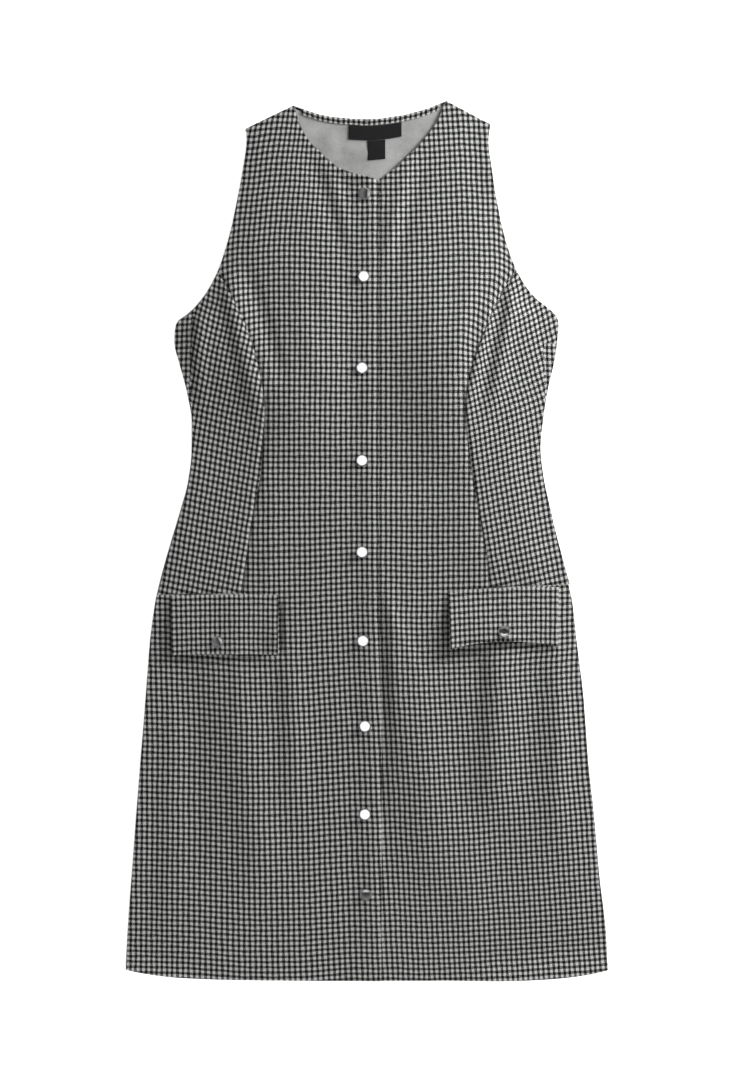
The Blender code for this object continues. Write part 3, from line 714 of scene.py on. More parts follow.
def side_grid(side, step):
    """X and Y of a princess side panel's points, from the hip seam to the armhole."""
    sign = SIGN[side]
    shares = spaced(SIDE_PANEL, step)
    rows = []
    for t in spaced(PRINCESS_TOP - HIP_MIDDLE, step):
        height = HIP_MIDDLE + t * (PRINCESS_TOP - HIP_MIDDLE)
        seam = outer_edge(side, height) + sign * SEAM_GAP
        edge = sign * side_width[side](height)
        line = edge + shares * (seam - edge)
        rows.append((line, body_level(height, line) + (SEAM_GAP if t == 0 else 0.0)))
    return tuple(np.array(grid) for grid in zip(*rows))


def back_grid(step):
    """X and Y of the back panel's points."""
    left, right = BACK_SHOULDERS
    top_x, top_y = zip(left, *BACK_NECK, right)
    levels = np.concatenate([
        [HEM_MIDDLE, HEM_MIDDLE + 0.8, HEM_MIDDLE + 2.5],
        np.arange(HEM_MIDDLE + 9, BACK_YOKE, 2 * step),
        np.arange(BACK_YOKE + 2, left.y, step),
        [left.y - 2.5, left.y - 0.8, left.y]])
    neck_ends = [(spot.x - left.x) / (right.x - left.x) for spot in (BACK_NECK[0], BACK_NECK[-1])]
    shares = np.sort(np.concatenate([spaced(2 * SIDES[0].left, 2 * step), neck_ends]))
    rows_x, rows_y = [], []
    for level in levels:
        low = 1 - ease((level - HEM_MIDDLE) / HEM_CURVE)
        high = np.clip((level - BACK_YOKE) / (left.y - BACK_YOKE), 0, 1)
        start, end = -side_width["right"](level), side_width["left"](level)
        x = start + shares * (end - start)
        y = level + low * (hem_height(x) - HEM_MIDDLE)
        rows_x.append(x)
        rows_y.append(y + high * (np.interp(x, top_x, top_y) - left.y))
    return np.array(rows_x), np.array(rows_y)


def edge_distance(points, keep):
    """Distance of each point of a grid from the cloth's edge, along the grid's lines."""
    nearest = np.full(keep.shape, np.inf)
    for axis in (0, 1):
        steps = np.linalg.norm(np.diff(np.nan_to_num(points), axis=axis), axis=2)
        run = np.insert(np.cumsum(steps, axis=axis), 0, 0.0, axis=axis)
        first = np.expand_dims(np.argmax(keep, axis=axis), axis)
        last = np.expand_dims(keep.shape[axis] - 1 - np.argmax(np.flip(keep, axis), axis=axis),
                              axis)
        nearest = np.minimum(nearest, run - np.take_along_axis(run, first, axis))
        nearest = np.minimum(nearest, np.take_along_axis(run, last, axis) - run)
    return nearest


# ---- meshes -----------------------------------------------------------------------------
def grid_object(name, x, y, z, columns, rows, slot_of_face=0, fall=EDGE_FALL,
                second=None):
    """A sheet through a grid of points, with the check's columns and rows as its UV map.

    Its edges fall a little. Faces look up, and points that aren't numbers are left out.
    A second cut, with how far its ground reaches over each point, takes the faces on it.
    """
    if np.nanmean(np.diff(x, axis=1)) < 0:
        x, y, z, columns, rows = (np.flip(grid, 1) for grid in (x, y, z, columns, rows))
        second = [np.flip(grid, 1) for grid in second or ()]
    keep = ~np.isnan(x)
    flat = np.stack([x, y, z], axis=2)
    z = z - fall * bell(edge_distance(flat, keep), EDGE_FALL_WIDTH)
    number = np.cumsum(keep).reshape(keep.shape) - 1
    whole = keep[:-1, :-1] & keep[:-1, 1:] & keep[1:, 1:] & keep[1:, :-1]
    faces = np.stack([number[:-1, :-1][whole], number[:-1, 1:][whole],
                      number[1:, 1:][whole], number[1:, :-1][whole]], axis=1)
    mesh = bpy.data.meshes.new(name)
    mesh.from_pydata(np.stack([x[keep], y[keep], z[keep]], axis=1) * MM, [], faces.tolist())
    cut = np.stack([columns[keep], rows[keep]], axis=1)[faces]
    if second:
        columns, rows, beyond = second
        over = beyond[keep][faces].mean(axis=1) > 0
        cut[over] = np.stack([columns[keep], rows[keep]], axis=1)[faces][over]
    uv = mesh.uv_layers.new(name="cut")
    uv.data.foreach_set("uv", cut.ravel())
    mesh.polygons.foreach_set("use_smooth", [True] * len(mesh.polygons))
    mesh.polygons.foreach_set("material_index", [slot_of_face] * len(mesh.polygons))
    obj = bpy.data.objects.new(name, mesh)
    bpy.context.scene.collection.objects.link(obj)
    return obj


def thicken(obj, thickness, materials, other_slot=1):
    """Give a sheet its wall and soft edges, and keep the result as a plain mesh."""
    for material in materials:
        obj.data.materials.append(material)
    wall = obj.modifiers.new("wall", "SOLIDIFY")
    wall.thickness = thickness * MM
    wall.offset = -1.0
    first = obj.data.polygons[0].material_index
    wall.material_offset = other_slot - first
    wall.material_offset_rim = -first
    soft = obj.modifiers.new("soft edge", "BEVEL")
    soft.width = SOFT_EDGE * thickness * MM
    soft.segments = 3
    soft.limit_method = "ANGLE"
    soft.angle_limit = math.radians(50)
    return plain_mesh(obj)


def plain_mesh(obj):
    """Replace an object's modifiers by their result."""
    depsgraph = bpy.context.evaluated_depsgraph_get()
    source = obj.data
    mesh = bpy.data.meshes.new_from_object(obj.evaluated_get(depsgraph),
                                           preserve_all_data_layers=True, depsgraph=depsgraph)
    obj.modifiers.clear()
    obj.data = mesh
    mesh.name = obj.name
    if source.users == 0:
        bpy.data.meshes.remove(source)
    return obj


def cloth_area(x, y, z):
    """Area of the cloth in a grid, in square metres, and its width and length as cut."""
    p = np.stack([x, y, z], axis=2)
    across = np.cross(p[:-1, 1:] - p[1:, :-1], p[1:, 1:] - p[:-1, :-1])
    area = 0.5 * np.nansum(np.linalg.norm(across, axis=2)) * MM * MM
    return area, ((np.nanmax(x) - np.nanmin(x)) * MM, (np.nanmax(y) - np.nanmin(y)) * MM)


def attach(obj, nodes):
    """A finished piece rides on the frame and stands for its solids."""
    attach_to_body(obj, "root")
    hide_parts(*nodes)


def register_cloth(obj, grids, nodes, with_pieces=()):
    """A finished panel rides on the frame; print its size as cut, its area and its triangles."""
    area, (width, length) = cloth_area(*grids)
    width, length = SPARE_WIDTH * width, SPARE_LENGTH * length
    attach(obj, nodes)
    print(f"{obj.name}: cut {width * 1000:.0f} x {length * 1000:.0f} mm, {area * 1e4:.0f} cm2, "
          f"{sum(len(p.vertices) - 2 for p in obj.data.polygons)} triangles")


# ---- materials --------------------------------------------------------------------------
class NodeMaker:
    """Makes the nodes of a tree, with one short call for each."""

    def add(self, kind, values=(), output=0, **settings):
        """A node with these inputs, linked or plain, and these settings; one of its outputs."""
        node = self.tree.nodes.new(kind)
        for key, value in settings.items():
            setattr(node, key, value)
        for key, value in dict(values).items():
            if isinstance(value, bpy.types.NodeSocket):
                self.tree.links.new(value, node.inputs[key])
            else:
                node.inputs[key].default_value = value
        return node.outputs[output]


class Shader(NodeMaker):
    """A material and its node tree."""

    def __init__(self, name, roughness, metallic=0.0, specular=0.3, sheen=0.0):
        self.material = bpy.data.materials.new(name)
        self.material.use_nodes = True
        self.tree = self.material.node_tree
        self.surface = self.tree.nodes["Principled BSDF"]
        self.surface.inputs["Roughness"].default_value = roughness
        self.surface.inputs["Metallic"].default_value = metallic
        self.surface.inputs["Specular IOR Level"].default_value = specular
        self.surface.inputs["Sheen Weight"].default_value = sheen

    def maths(self, operation, *values):
        return self.add("ShaderNodeMath", enumerate(values), operation=operation)

    def scaled(self, value, factor, more):
        """A value times a factor, and more added to it."""
        return self.maths("MULTIPLY_ADD", value, factor, more)

    def moved(self, value, noise, reach):
        """A value moved by noise, by up to half the reach either way."""
        return self.scaled(self.maths("SUBTRACT", noise, 0.5), reach, value)

    def cut(self):
        """Columns and rows of the check, as the cloth was cut."""
        return self.parts(self.add("ShaderNodeUVMap", uv_map="cut"))[:2]

    def parts(self, vector):
        """The three parts of a vector or colour."""
        return [self.add("ShaderNodeSeparateXYZ", {0: vector}, output=i) for i in range(3)]

    def noise(self, scale, detail=2.0, output="Fac"):
        """Soft noise on the object's own coordinates; scale is in features a metre."""
        place = self.add("ShaderNodeTexCoord", output="Object")
        return self.add("ShaderNodeTexNoise", {"Vector": place, "Scale": scale,
                                               "Detail": detail}, output=output)

    def blend(self, share, first, second):
        return self.add("ShaderNodeMix", {0: share, 6: first, 7: second}, output=2,
                        data_type="RGBA")

    def shade(self, colour, amount):
        """A colour made darker or lighter by a factor."""
        return self.add("ShaderNodeVectorMath", {0: colour, "Scale": amount},
                        operation="SCALE")

    def colour(self, value):
        self.tree.links.new(value, self.surface.inputs["Base Color"])

    def bump(self, height, distance, strength=1.0):
        bump = self.add("ShaderNodeBump", {"Height": height, "Distance": distance,
                                           "Strength": strength}, output="Normal")
        self.tree.links.new(bump, self.surface.inputs["Normal"])


def knit_stitches(shader, across, up):
    """Wale and course numbers of knit at a place counted in stitches, and the loops' height."""
    wale = shader.maths("FLOOR", across)
    off = shader.maths("ABSOLUTE", shader.maths("SUBTRACT", shader.maths("FRACT", across), 0.5))
    slanted = shader.scaled(off, 0.9, up)
    course = shader.maths("FLOOR", slanted)
    along = shader.maths("FRACT", slanted)
    leg = shader.maths("MULTIPLY", shader.maths("SUBTRACT", off, 0.25), 4.0)
    round_leg = shader.maths("SUBTRACT", 1.0, shader.maths("MULTIPLY", leg, leg))
    middle = shader.scaled(along, 2.0, -1.0)
    length = shader.scaled(shader.maths("MULTIPLY", middle, middle), -0.7, 1.0)
    return wale, course, shader.maths("MULTIPLY", round_leg, length)


def checked_knit():
    """Double knit in a small check: black, white, and flecked half-tones between them, with
    painted shade between its loops.
    """
    shader = Shader("checked_knit", roughness=0.9, specular=0.12, sheen=0.02)

    def light(count):
        place = shader.maths("FLOORED_MODULO", count, 2 * WALES)
        return shader.maths("LESS_THAN", place, WALES - 0.5)

    columns, rows = shader.cut()
    for scale, reach in CHECK_WANDER:
        noise_x, noise_y, _ = shader.parts(shader.noise(scale, output="Color"))
        columns = shader.moved(columns, noise_x, reach)
        rows = shader.moved(rows, noise_y, reach)
    across = shader.scaled(columns, 2.0 * WALES, 0.5 * WALES)
    up = shader.scaled(rows, 2.0 * WALES, 0.5 * WALES)
    wale, course, loops = knit_stitches(shader, across, up)
    light_column, light_row = light(wale), light(course)
    white = shader.maths("MULTIPLY", light_column, light_row)
    one = shader.maths("SUBTRACT", shader.maths("ADD", light_column, light_row),
                       shader.maths("MULTIPLY", white, 2.0))
    order = shader.maths("FLOORED_MODULO", shader.scaled(course, 2.0, wale), 5.0)
    fleck = shader.maths("LESS_THAN", order, 0.5)
    half = shader.scaled(fleck, 0.40, cloth().half_tone - 0.08)
    half = shader.scaled(light_column, 0.05, half)
    share = shader.scaled(one, half, white)
    yarn = shader.blend(share, (*cloth().black_yarn, 1.0), (*cloth().white_yarn, 1.0))
    fuzz = shader.noise(1900.0)
    # Painted shade: the yarn's colour is darker between the knit loops and lighter on their
    # crests, as light would fall on them; the fuzz noise varies the tone at random.
    depth = shader.scaled(loops, 0.20, 0.86)
    tone = shader.maths("MULTIPLY", depth, shader.scaled(fuzz, 0.24, 0.88))
    shader.colour(shader.shade(yarn, tone))
    shader.bump(shader.scaled(fuzz, 0.4, loops), 0.00011, 0.8)
    return shader.material


def grey_reverse():
    """Plain light-grey marl reverse of the double knit, with its fine wales and painted shade
    between their loops.
    """
    shader = Shader("grey_reverse", roughness=0.92, specular=0.12, sheen=0.04)
    across, up = (shader.maths("MULTIPLY", count, 2.0 * WALES) for count in shader.cut())
    _, _, loops = knit_stitches(shader, across, up)
    marl = shader.noise(420.0, detail=3.0)
    flecks = shader.noise(1500.0)
    cloud = shader.noise(38.0)
    tone = shader.scaled(marl, 0.30, shader.scaled(cloud, 0.7, 0.37))
    tone = shader.scaled(flecks, 0.20, tone)
    # Painted shade: darker between the wales' loops, lighter on their crests.
    tone = shader.maths("MULTIPLY", tone, shader.scaled(loops, 0.16, 0.92))
    shader.colour(shader.shade(tuple(cloth().reverse), tone))
    shader.bump(shader.scaled(flecks, 0.5, loops), 0.00012, 0.8)
    return shader.material


def black_woven():
    """Black woven tape with fine ribs across it, and painted shade between the ribs."""
    shader = Shader("black_woven", roughness=0.62, specular=0.2, sheen=0.03)
    _, rows = shader.cut()
    rib = shader.maths("SINE", shader.maths("MULTIPLY", rows, math.tau / RIB))
    fibre = shader.noise(2600.0)
    # Painted shade: the ribs are lighter on their crests and darker between them; the fibre noise
    # varies the tone at random.
    tone = shader.scaled(rib, 0.22, shader.scaled(fibre, 0.5, 0.75))
    shader.colour(shader.shade(tuple(cloth().tape), tone))
    shader.bump(shader.scaled(fibre, 0.6, rib), 0.00005, 0.8)
    return shader.material


def polished_metal():
    """Polished nickel-coloured metal with faint wear."""
    shader = Shader("polished_metal", roughness=0.10, metallic=1.0, specular=0.5)
    wear = shader.noise(900.0, detail=4.0)
    shader.colour(shader.shade((0.90, 0.90, 0.905), shader.scaled(wear, 0.06, 0.95)))
    rough = shader.scaled(wear, 0.10, 0.05)
    shader.tree.links.new(rough, shader.surface.inputs["Roughness"])
    return shader.material


def black_thread():
    """Twisted thread of the label's tacks."""
    shader = Shader("black_thread", roughness=0.6, specular=0.3, sheen=0.1)
    twist = shader.noise(4000.0)
    shader.colour(shader.shade((0.016, 0.016, 0.018), shader.scaled(twist, 0.8, 0.6)))
    return shader.material


def pale_floor():
    """White paper that glows a little, so that it stays white below the dress."""
    shader = Shader("pale_floor", roughness=0.9, specular=0.0)
    shader.surface.inputs["Emission Color"].default_value = (1.0, 1.0, 1.0, 1.0)
    shader.surface.inputs["Emission Strength"].default_value = 0.8
    grain = shader.noise(3.0)
    shader.colour(shader.shade((0.93, 0.93, 0.93), shader.scaled(grain, 0.01, 0.995)))
    return shader.material


FINISHES = {make.__name__: make for make in (checked_knit, grey_reverse, black_woven,
                                             polished_metal, black_thread, pale_floor)}


def finish(name):
    """A material by its finish's name, made the first time that it is asked for."""
    return bpy.data.materials.get("dress_" + name) or named_finish(name)


def named_finish(name):
    material = FINISHES[name]()
    material.name = "dress_" + name
    return material


def knit():
    return [finish("checked_knit"), finish("grey_reverse")]


# ---- Geometry Nodes ---------------------------------------------------------------------
class Tree(NodeMaker):
    """A Geometry Nodes tree and its labelled inputs."""

    def __init__(self, name, inputs):
        self.tree = bpy.data.node_groups.new(name, "GeometryNodeTree")
        face = self.tree.interface
        face.new_socket("Geometry", in_out="INPUT", socket_type="NodeSocketGeometry")
        face.new_socket("Geometry", in_out="OUTPUT", socket_type="NodeSocketGeometry")
        self.keys = {}
        for label, kind in inputs.items():
            socket = face.new_socket(label, in_out="INPUT", socket_type=kind)
            self.keys[label] = socket.identifier
        self.source = self.tree.nodes.new("NodeGroupInput")

    def given(self, label):
        return self.source.outputs[label]

    def end(self, geometry, material):
        """Realize what the tree made, give it its material and hand it out."""
        real = self.add("GeometryNodeRealizeInstances", {0: geometry})
        painted = self.add("GeometryNodeSetMaterial", {"Geometry": real, "Material": material})
        out = self.tree.nodes.new("NodeGroupOutput")
        self.tree.links.new(painted, out.inputs[0])

    def run(self, obj, **values):
        """Run the tree on an object, with its inputs by label, and keep the plain result."""
        modifier = obj.modifiers.new(self.tree.name, "NODES")
        modifier.node_group = self.tree
        for label, value in values.items():
            modifier[self.keys[label.replace("_", " ")]] = value
        return plain_mesh(obj)


def caps_tree():
    """A turned cap on each point, its axis along the point's facing."""
    tree = Tree("snap caps", {"Cap": "NodeSocketObject", "Diameter": "NodeSocketFloat",
                              "Finish": "NodeSocketMaterial"})
    cap = tree.add("GeometryNodeObjectInfo", {"Object": tree.given("Cap")}, output="Geometry")
    facing = tree.add("GeometryNodeInputNamedAttribute", {"Name": "facing"},
                      data_type="FLOAT_VECTOR")
    turn = tree.add("FunctionNodeAlignRotationToVector", {"Vector": facing}, axis="Z")
    size = tree.add("ShaderNodeMath", {0: tree.given("Diameter"), 1: CAP_WIDTH},
                    operation="DIVIDE")
    caps = tree.add("GeometryNodeInstanceOnPoints",
                    {"Points": tree.given("Geometry"), "Instance": cap, "Rotation": turn,
                     "Scale": size})
    tree.end(caps, tree.given("Finish"))
    return tree


def stitches_tree():
    """Short round stitches along every edge of a wire."""
    tree = Tree("tack stitches", {"Pitch": "NodeSocketFloat", "Length": "NodeSocketFloat",
                                  "Thickness": "NodeSocketFloat", "Finish": "NodeSocketMaterial"})
    path = tree.add("GeometryNodeMeshToCurve", {"Mesh": tree.given("Geometry")})
    points = tree.add("GeometryNodeResampleCurve", {"Curve": path,
                                                    "Length": tree.given("Pitch")},
                      mode="LENGTH")
    bead = tree.add("GeometryNodeMeshUVSphere", {"Segments": 8, "Rings": 6, "Radius": 0.5})
    size = tree.add("ShaderNodeCombineXYZ", {0: tree.given("Length"),
                                             1: tree.given("Thickness"),
                                             2: tree.given("Thickness")})
    tangent = tree.add("GeometryNodeInputTangent")
    turn = tree.add("FunctionNodeAlignRotationToVector", {"Vector": tangent}, axis="X")
    stitches = tree.add("GeometryNodeInstanceOnPoints", {"Points": points, "Instance": bead,
                                                         "Rotation": turn, "Scale": size})
    tree.end(stitches, tree.given("Finish"))
    return tree


# ---- pieces -----------------------------------------------------------------------------
def make_front(side):
    """One centre panel, neck to hem."""
    x, y = front_grid(side, cloth().grid_step / MM)
    keep = ~np.isnan(x)
    fill_x, fill_y = np.nan_to_num(x), np.nan_to_num(y)
    z = np.where(keep, front_top(side, fill_x, fill_y), np.nan)
    columns, rows = middle_cut(side, fill_x, fill_y)
    obj = thicken(grid_object(f"front_{side}", x, y, z, columns, rows), CLOTH, knit())
    register_cloth(obj, (x, y, z), [f"front_{side}_panel"])


def make_side(side):
    """One princess side panel."""
    x, y = side_grid(side, cloth().grid_step / MM)
    z = front_top(side, x, y)
    obj = grid_object(f"side_{side}", x, y, z, *side_cut(side, x, y),
                      second=rolled_cut(side, x, y))
    thicken(obj, CLOTH, knit())
    register_cloth(obj, (x, y, z), [f"side_front_{side}"])


def make_back():
    """The back in one piece: its grey reverse up, showing inside the neck."""
    x, y = back_grid(cloth().grid_step / MM)
    z = BACK_TOP + folds_rise(NECK_WAVES, x, y)
    obj = grid_object("back", x, y, z, x / (cloth().check_width / MM), rows_up_to(y),
                      slot_of_face=1, fall=0.0)
    thicken(obj, CLOTH, knit(), other_slot=0)
    for vertex in obj.data.vertices:
        vertex.co.z = max(vertex.co.z, 0.0)
    register_cloth(obj, (x, y, z), ["back_panel"], with_pieces=[make_turning()])


def flap_spot(side, across, down):
    """Place on a flap: across from its inner end, down from its seam."""
    cut = FLAPS[side]
    bow = 4 * across * (1 - across)

    def between(low, high):
        return low + (high - low) * across

    root_y = between(cut.inner_top.y, cut.outer_top.y) + cut.bow_top * bow
    free_y = between(cut.inner_low.y, cut.outer_low.y) + cut.bow_low * bow
    root_x = between(cut.inner_top.x, cut.outer_top.x)
    free_x = between(cut.inner_low.x, cut.outer_low.x)
    return root_x + (free_x - root_x) * down, root_y + (free_y - root_y) * down


def flap_surface(side, across, down):
    """Points of a flap's upper face: it bridges the small creases below it."""
    x, y = flap_spot(side, across, down)
    ground = sum(np.exp(BRIDGE_SHARP * (front_top(side, x + dx, y + dy) - BACK_TOP))
                 for dx in BRIDGE for dy in BRIDGE)
    ground = np.log(ground) / BRIDGE_SHARP + BACK_TOP
    corner = FLAPS[side].lift * ease(1 - across / 0.16) * ease(down / 0.7)
    high = across if side == "right" else 1 - across
    lift = FLAP_RISE * ease(down) + corner + FLAP_TILT[side] * high * ease(down / 0.5)
    cap = FLAP_SNAPS[side]
    pressed = FLAP_SNAP_DIP * bell(x - cap.x, FLAP_SNAP_REACH) * bell(y - cap.y, FLAP_SNAP_REACH)
    waves = ease(down / 0.3) * folds_rise(FLAP_WAVES[side], x, y)
    rim = (1 - down) * (FLAPS[side].inner_top.y - FLAPS[side].inner_low.y)
    stitched = STITCH_DIP * bell(rim - STITCH_LINE, STITCH_WIDTH) * ease(across / 0.05)
    loose = FLAP_RIPPLE * ripple(FLAP_RIPPLE_FINER * x, FLAP_RIPPLE_FINER * y)
    return x, y, ground + FLAP_CLEAR + CLOTH + lift + waves + loose - pressed - stitched


def flap_height(side, x, y):
    """Height of a flap's upper face at one place."""
    cut = FLAPS[side]
    across = (x - cut.inner_top.x) / (cut.outer_top.x - cut.inner_top.x)
    root_y, free_y = (flap_spot(side, across, down)[1] for down in (0.0, 1.0))
    return flap_surface(side, across, (root_y - y) / (root_y - free_y))[2]


def make_flap(side):
    """One hip pocket flap, sewn in the hip seam and free along its other edges."""
    cut = FLAPS[side]
    width = abs(cut.outer_top.x - cut.inner_top.x)
    height = cut.inner_top.y - cut.inner_low.y
    step = cloth().grid_step / MM
    across, down = np.meshgrid(spaced(width, step), spaced(height, step)[::-1])
    x, y, z = flap_surface(side, across, down)
    columns = SIGN[side] * (across * width / FLAP_COLUMN + 0.4)
    rows = (y - flap_spot(side, across, 0.0)[1] + 1.3) / FLAP_ROW[side]
    obj = thicken(grid_object(f"flap_{side}", x, y, z, columns, rows), CLOTH, knit())
    register_cloth(obj, (x, y, z), [f"pocket_flap_{side}"])


def make_turning():
    """The back neck edge, turned to the inside."""
    width = TURNING_ENDS[1] - TURNING_ENDS[0]
    share, drop = np.meshgrid(spaced(width, 2.5), TURNING_DROPS)
    x = TURNING_ENDS[0] + share * width
    y = back_neck_height(x) - drop
    z = np.full(x.shape, TRIM_TOP)
    wide, high = TURNING_CHECK
    rows = (TURNING_MIDDLE - drop) / high + 0.5
    obj = grid_object("neck_turning", x, y, z, x / wide, rows)
    thicken(obj, TRIM, knit())
    attach(obj, ["back_neck_turning"])
    return obj


def make_tape(name, node, tape, drop):
    """A bare woven tape inside the back neck."""
    share, down = np.meshgrid(spaced(tape.width, 2.0), spaced(tape.height, 2.0)[::-1])
    x = tape.x + (share - 0.5) * tape.width
    y = back_neck_height(x) - drop - tape.hang - down * tape.height
    z = np.full(x.shape, TRIM_TOP)
    obj = grid_object(name, x, y, z, x, down * tape.height, fall=0.2)
    thicken(obj, TRIM, [finish("black_woven")], other_slot=0)
    register_cloth(obj, (x, y, z), [node])


def make_tacks():
    """Small stitches that hold the ends of the neck label."""
    top = TRIM_TOP + 0.02
    points, edges = [], []
    for end in (-1, 1):
        x = LABEL.x + end * (LABEL.width / 2 - TACK_INSET[0])
        high = float(back_neck_height(x)) - TURNING_WIDTH - LABEL.hang
        edges.append((len(points), len(points) + 1))
        points += [(x * MM, y * MM, top * MM)
                   for y in (high - TACK_INSET[1], high - LABEL.height + TACK_INSET[1])]
    mesh = bpy.data.meshes.new("label_tacks")
    mesh.from_pydata(points, edges, [])
    obj = bpy.data.objects.new("label_tacks", mesh)
    bpy.context.scene.collection.objects.link(obj)
    stitches_tree().run(obj, Pitch=0.0022, Length=0.0017, Thickness=0.00042,
                        Finish=finish("black_thread"))
    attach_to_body(obj, "root")


def seat(height_at, cap):
    """Place and facing of a cap on a surface: clear of its highest point below the rim."""
    reach = SNAP_REACH
    lean = Vector((math.tan(math.radians(cap.lean_x)), math.tan(math.radians(cap.lean_y)), 1.0))
    base = height_at(cap.x, cap.y)
    rise = 0.0
    for angle in np.arange(8) * math.pi / 4:
        dx, dy = reach * math.cos(angle), reach * math.sin(angle)
        rise = max(rise, height_at(cap.x + dx, cap.y + dy) - base + lean.x * dx + lean.y * dy)
    return Vector((cap.x, cap.y, base + rise + SNAP_CLEAR)), lean.normalized()


def turned_cap():
    """The cap, turned from its profile about its own axis."""
    bm = bmesh.new()
    points = [bm.verts.new((radius * MM, 0.0, height * MM)) for radius, height in SNAP_PROFILE]
    wire = [bm.edges.new(pair) for pair in zip(points, points[1:])]
    bmesh.ops.spin(bm, geom=points + wire, axis=(0, 0, 1), cent=(0, 0, 0), angle=math.tau,
                   steps=SNAP_STEPS, use_merge=True)
    bmesh.ops.remove_doubles(bm, verts=bm.verts[:], dist=0.000001)
    bmesh.ops.recalc_face_normals(bm, faces=bm.faces[:])
    mesh = bpy.data.meshes.new("turned_cap")
    bm.to_mesh(mesh)
    bm.free()
    mesh.polygons.foreach_set("use_smooth", [True] * len(mesh.polygons))
    return bpy.data.objects.new("turned_cap", mesh)


def make_snaps():
    """All snap caps: nine down the placket and one on each flap."""
    seats = [seat(lambda x, y: float(front_top("right", x, y) - dimples(x, y)), cap)
             for cap in FRONT_SNAPS]
    for side, cap in FLAP_SNAPS.items():
        seats.append(seat(lambda x, y, side=side: float(flap_height(side, x, y)), cap))
    mesh = bpy.data.meshes.new("snap_caps")
    mesh.from_pydata([place * MM for place, _ in seats], [], [])
    facing = mesh.attributes.new("facing", "FLOAT_VECTOR", "POINT")
    facing.data.foreach_set("vector", [part for _, normal in seats for part in normal])
    obj = bpy.data.objects.new("snap_caps", mesh)
    cap = turned_cap()
    for item in (obj, cap):
        bpy.context.scene.collection.objects.link(item)
    caps_tree().run(obj, Cap=cap, Diameter=CAP_WIDTH, Finish=finish("polished_metal"))
    bpy.data.objects.remove(cap)
    nodes = [f"front_snap_{i}" for i in range(1, 10)] + ["flap_snap_right", "flap_snap_left"]
    attach(obj, nodes)


# ---- stage ------------------------------------------------------------------------------
FLOOR_REACH = 40.0     # in metres, so that it meets the horizon


def make_floor():
    """White ground just below the back."""
    mesh = bpy.data.meshes.new("floor")
    corners = [(-1, -1), (1, -1), (1, 1), (-1, 1)]
    mesh.from_pydata([(FLOOR_REACH * x, FLOOR_REACH * y, -0.0002) for x, y in corners],
                     [], [(0, 1, 2, 3)])
    mesh.materials.append(finish("pale_floor"))
    floor = bpy.data.objects.new("floor", mesh)
    bpy.context.scene.collection.objects.link(floor)


def make_sky():
    """A white room: a bright ceiling patch straight above, a dim ring round it, light walls."""
    stage = bpy.context.scene.dress_stage
    world = bpy.data.worlds.new("studio")
    world.use_nodes = True
    tree = world.node_tree
    place = tree.nodes.new("ShaderNodeTexCoord")
    split = tree.nodes.new("ShaderNodeSeparateXYZ")
    ramp = tree.nodes.new("ShaderNodeValToRGB")
    light = tree.nodes["Background"]
    tree.links.new(place.outputs["Generated"], split.inputs[0])
    tree.links.new(split.outputs["Z"], ramp.inputs["Fac"])
    tree.links.new(ramp.outputs["Color"], light.inputs["Color"])
    stops = [(0.0, 0.2 * stage.walls), (0.50, 0.2 * stage.walls), (0.57, stage.walls),
             (0.73, stage.walls), (0.79, stage.dim_ring), (0.90, stage.dim_ring),
             (0.92, 0.10 * stage.dim_ring), (0.945, 0.10 * stage.dim_ring),
             (0.965, stage.ceiling)]
    bar = ramp.color_ramp
    for i, (at, level) in enumerate(stops):
        stop = bar.elements[i] if i < 2 else bar.elements.new(at)
        stop.position = at
        stop.color = (level, level, level, 1.0)
    light.inputs["Strength"].default_value = 1.0
    bpy.context.scene.world = world


def make_lamp(name, power, size, place):
    """A soft lamp that faces the middle of the dress, and doesn't show itself."""
    light = bpy.data.lights.new(name, "AREA")
    light.shape = "DISK"
    light.size = size
    light.energy = power
    lamp = bpy.data.objects.new(name, light)
    lamp.location = place
    lamp.rotation_mode = "QUATERNION"
    lamp.rotation_quaternion = Vector(place).to_track_quat("Z", "Y")
    lamp.visible_camera = False
    lamp.visible_glossy = False
    bpy.context.scene.collection.objects.link(lamp)


def make_lamps():
    """Two lamps at the upper right of the picture, near and far, and one below the hem."""
    stage = bpy.context.scene.dress_stage
    make_lamp("key", stage.key_power, stage.lamp_size, stage.key_place)
    make_lamp("rake", stage.rake_power, 2 * stage.lamp_size, stage.rake_place)
    make_lamp("low", stage.low_power, stage.lamp_size, stage.low_place)


CAMERA_PLACE = (0.0008, 0.0010, 2.523)


def make_camera():
    """The photograph's view: straight down, the neck at the top."""
    lens = bpy.data.cameras.new("camera")
    lens.lens = 85.0
    lens.sensor_width = 36.0
    lens.clip_end = 50.0
    camera = bpy.data.objects.new("camera", lens)
    camera.location = CAMERA_PLACE
    bpy.context.scene.collection.objects.link(camera)
    bpy.context.scene.camera = camera
    bpy.context.scene.view_settings.view_transform = "Standard"


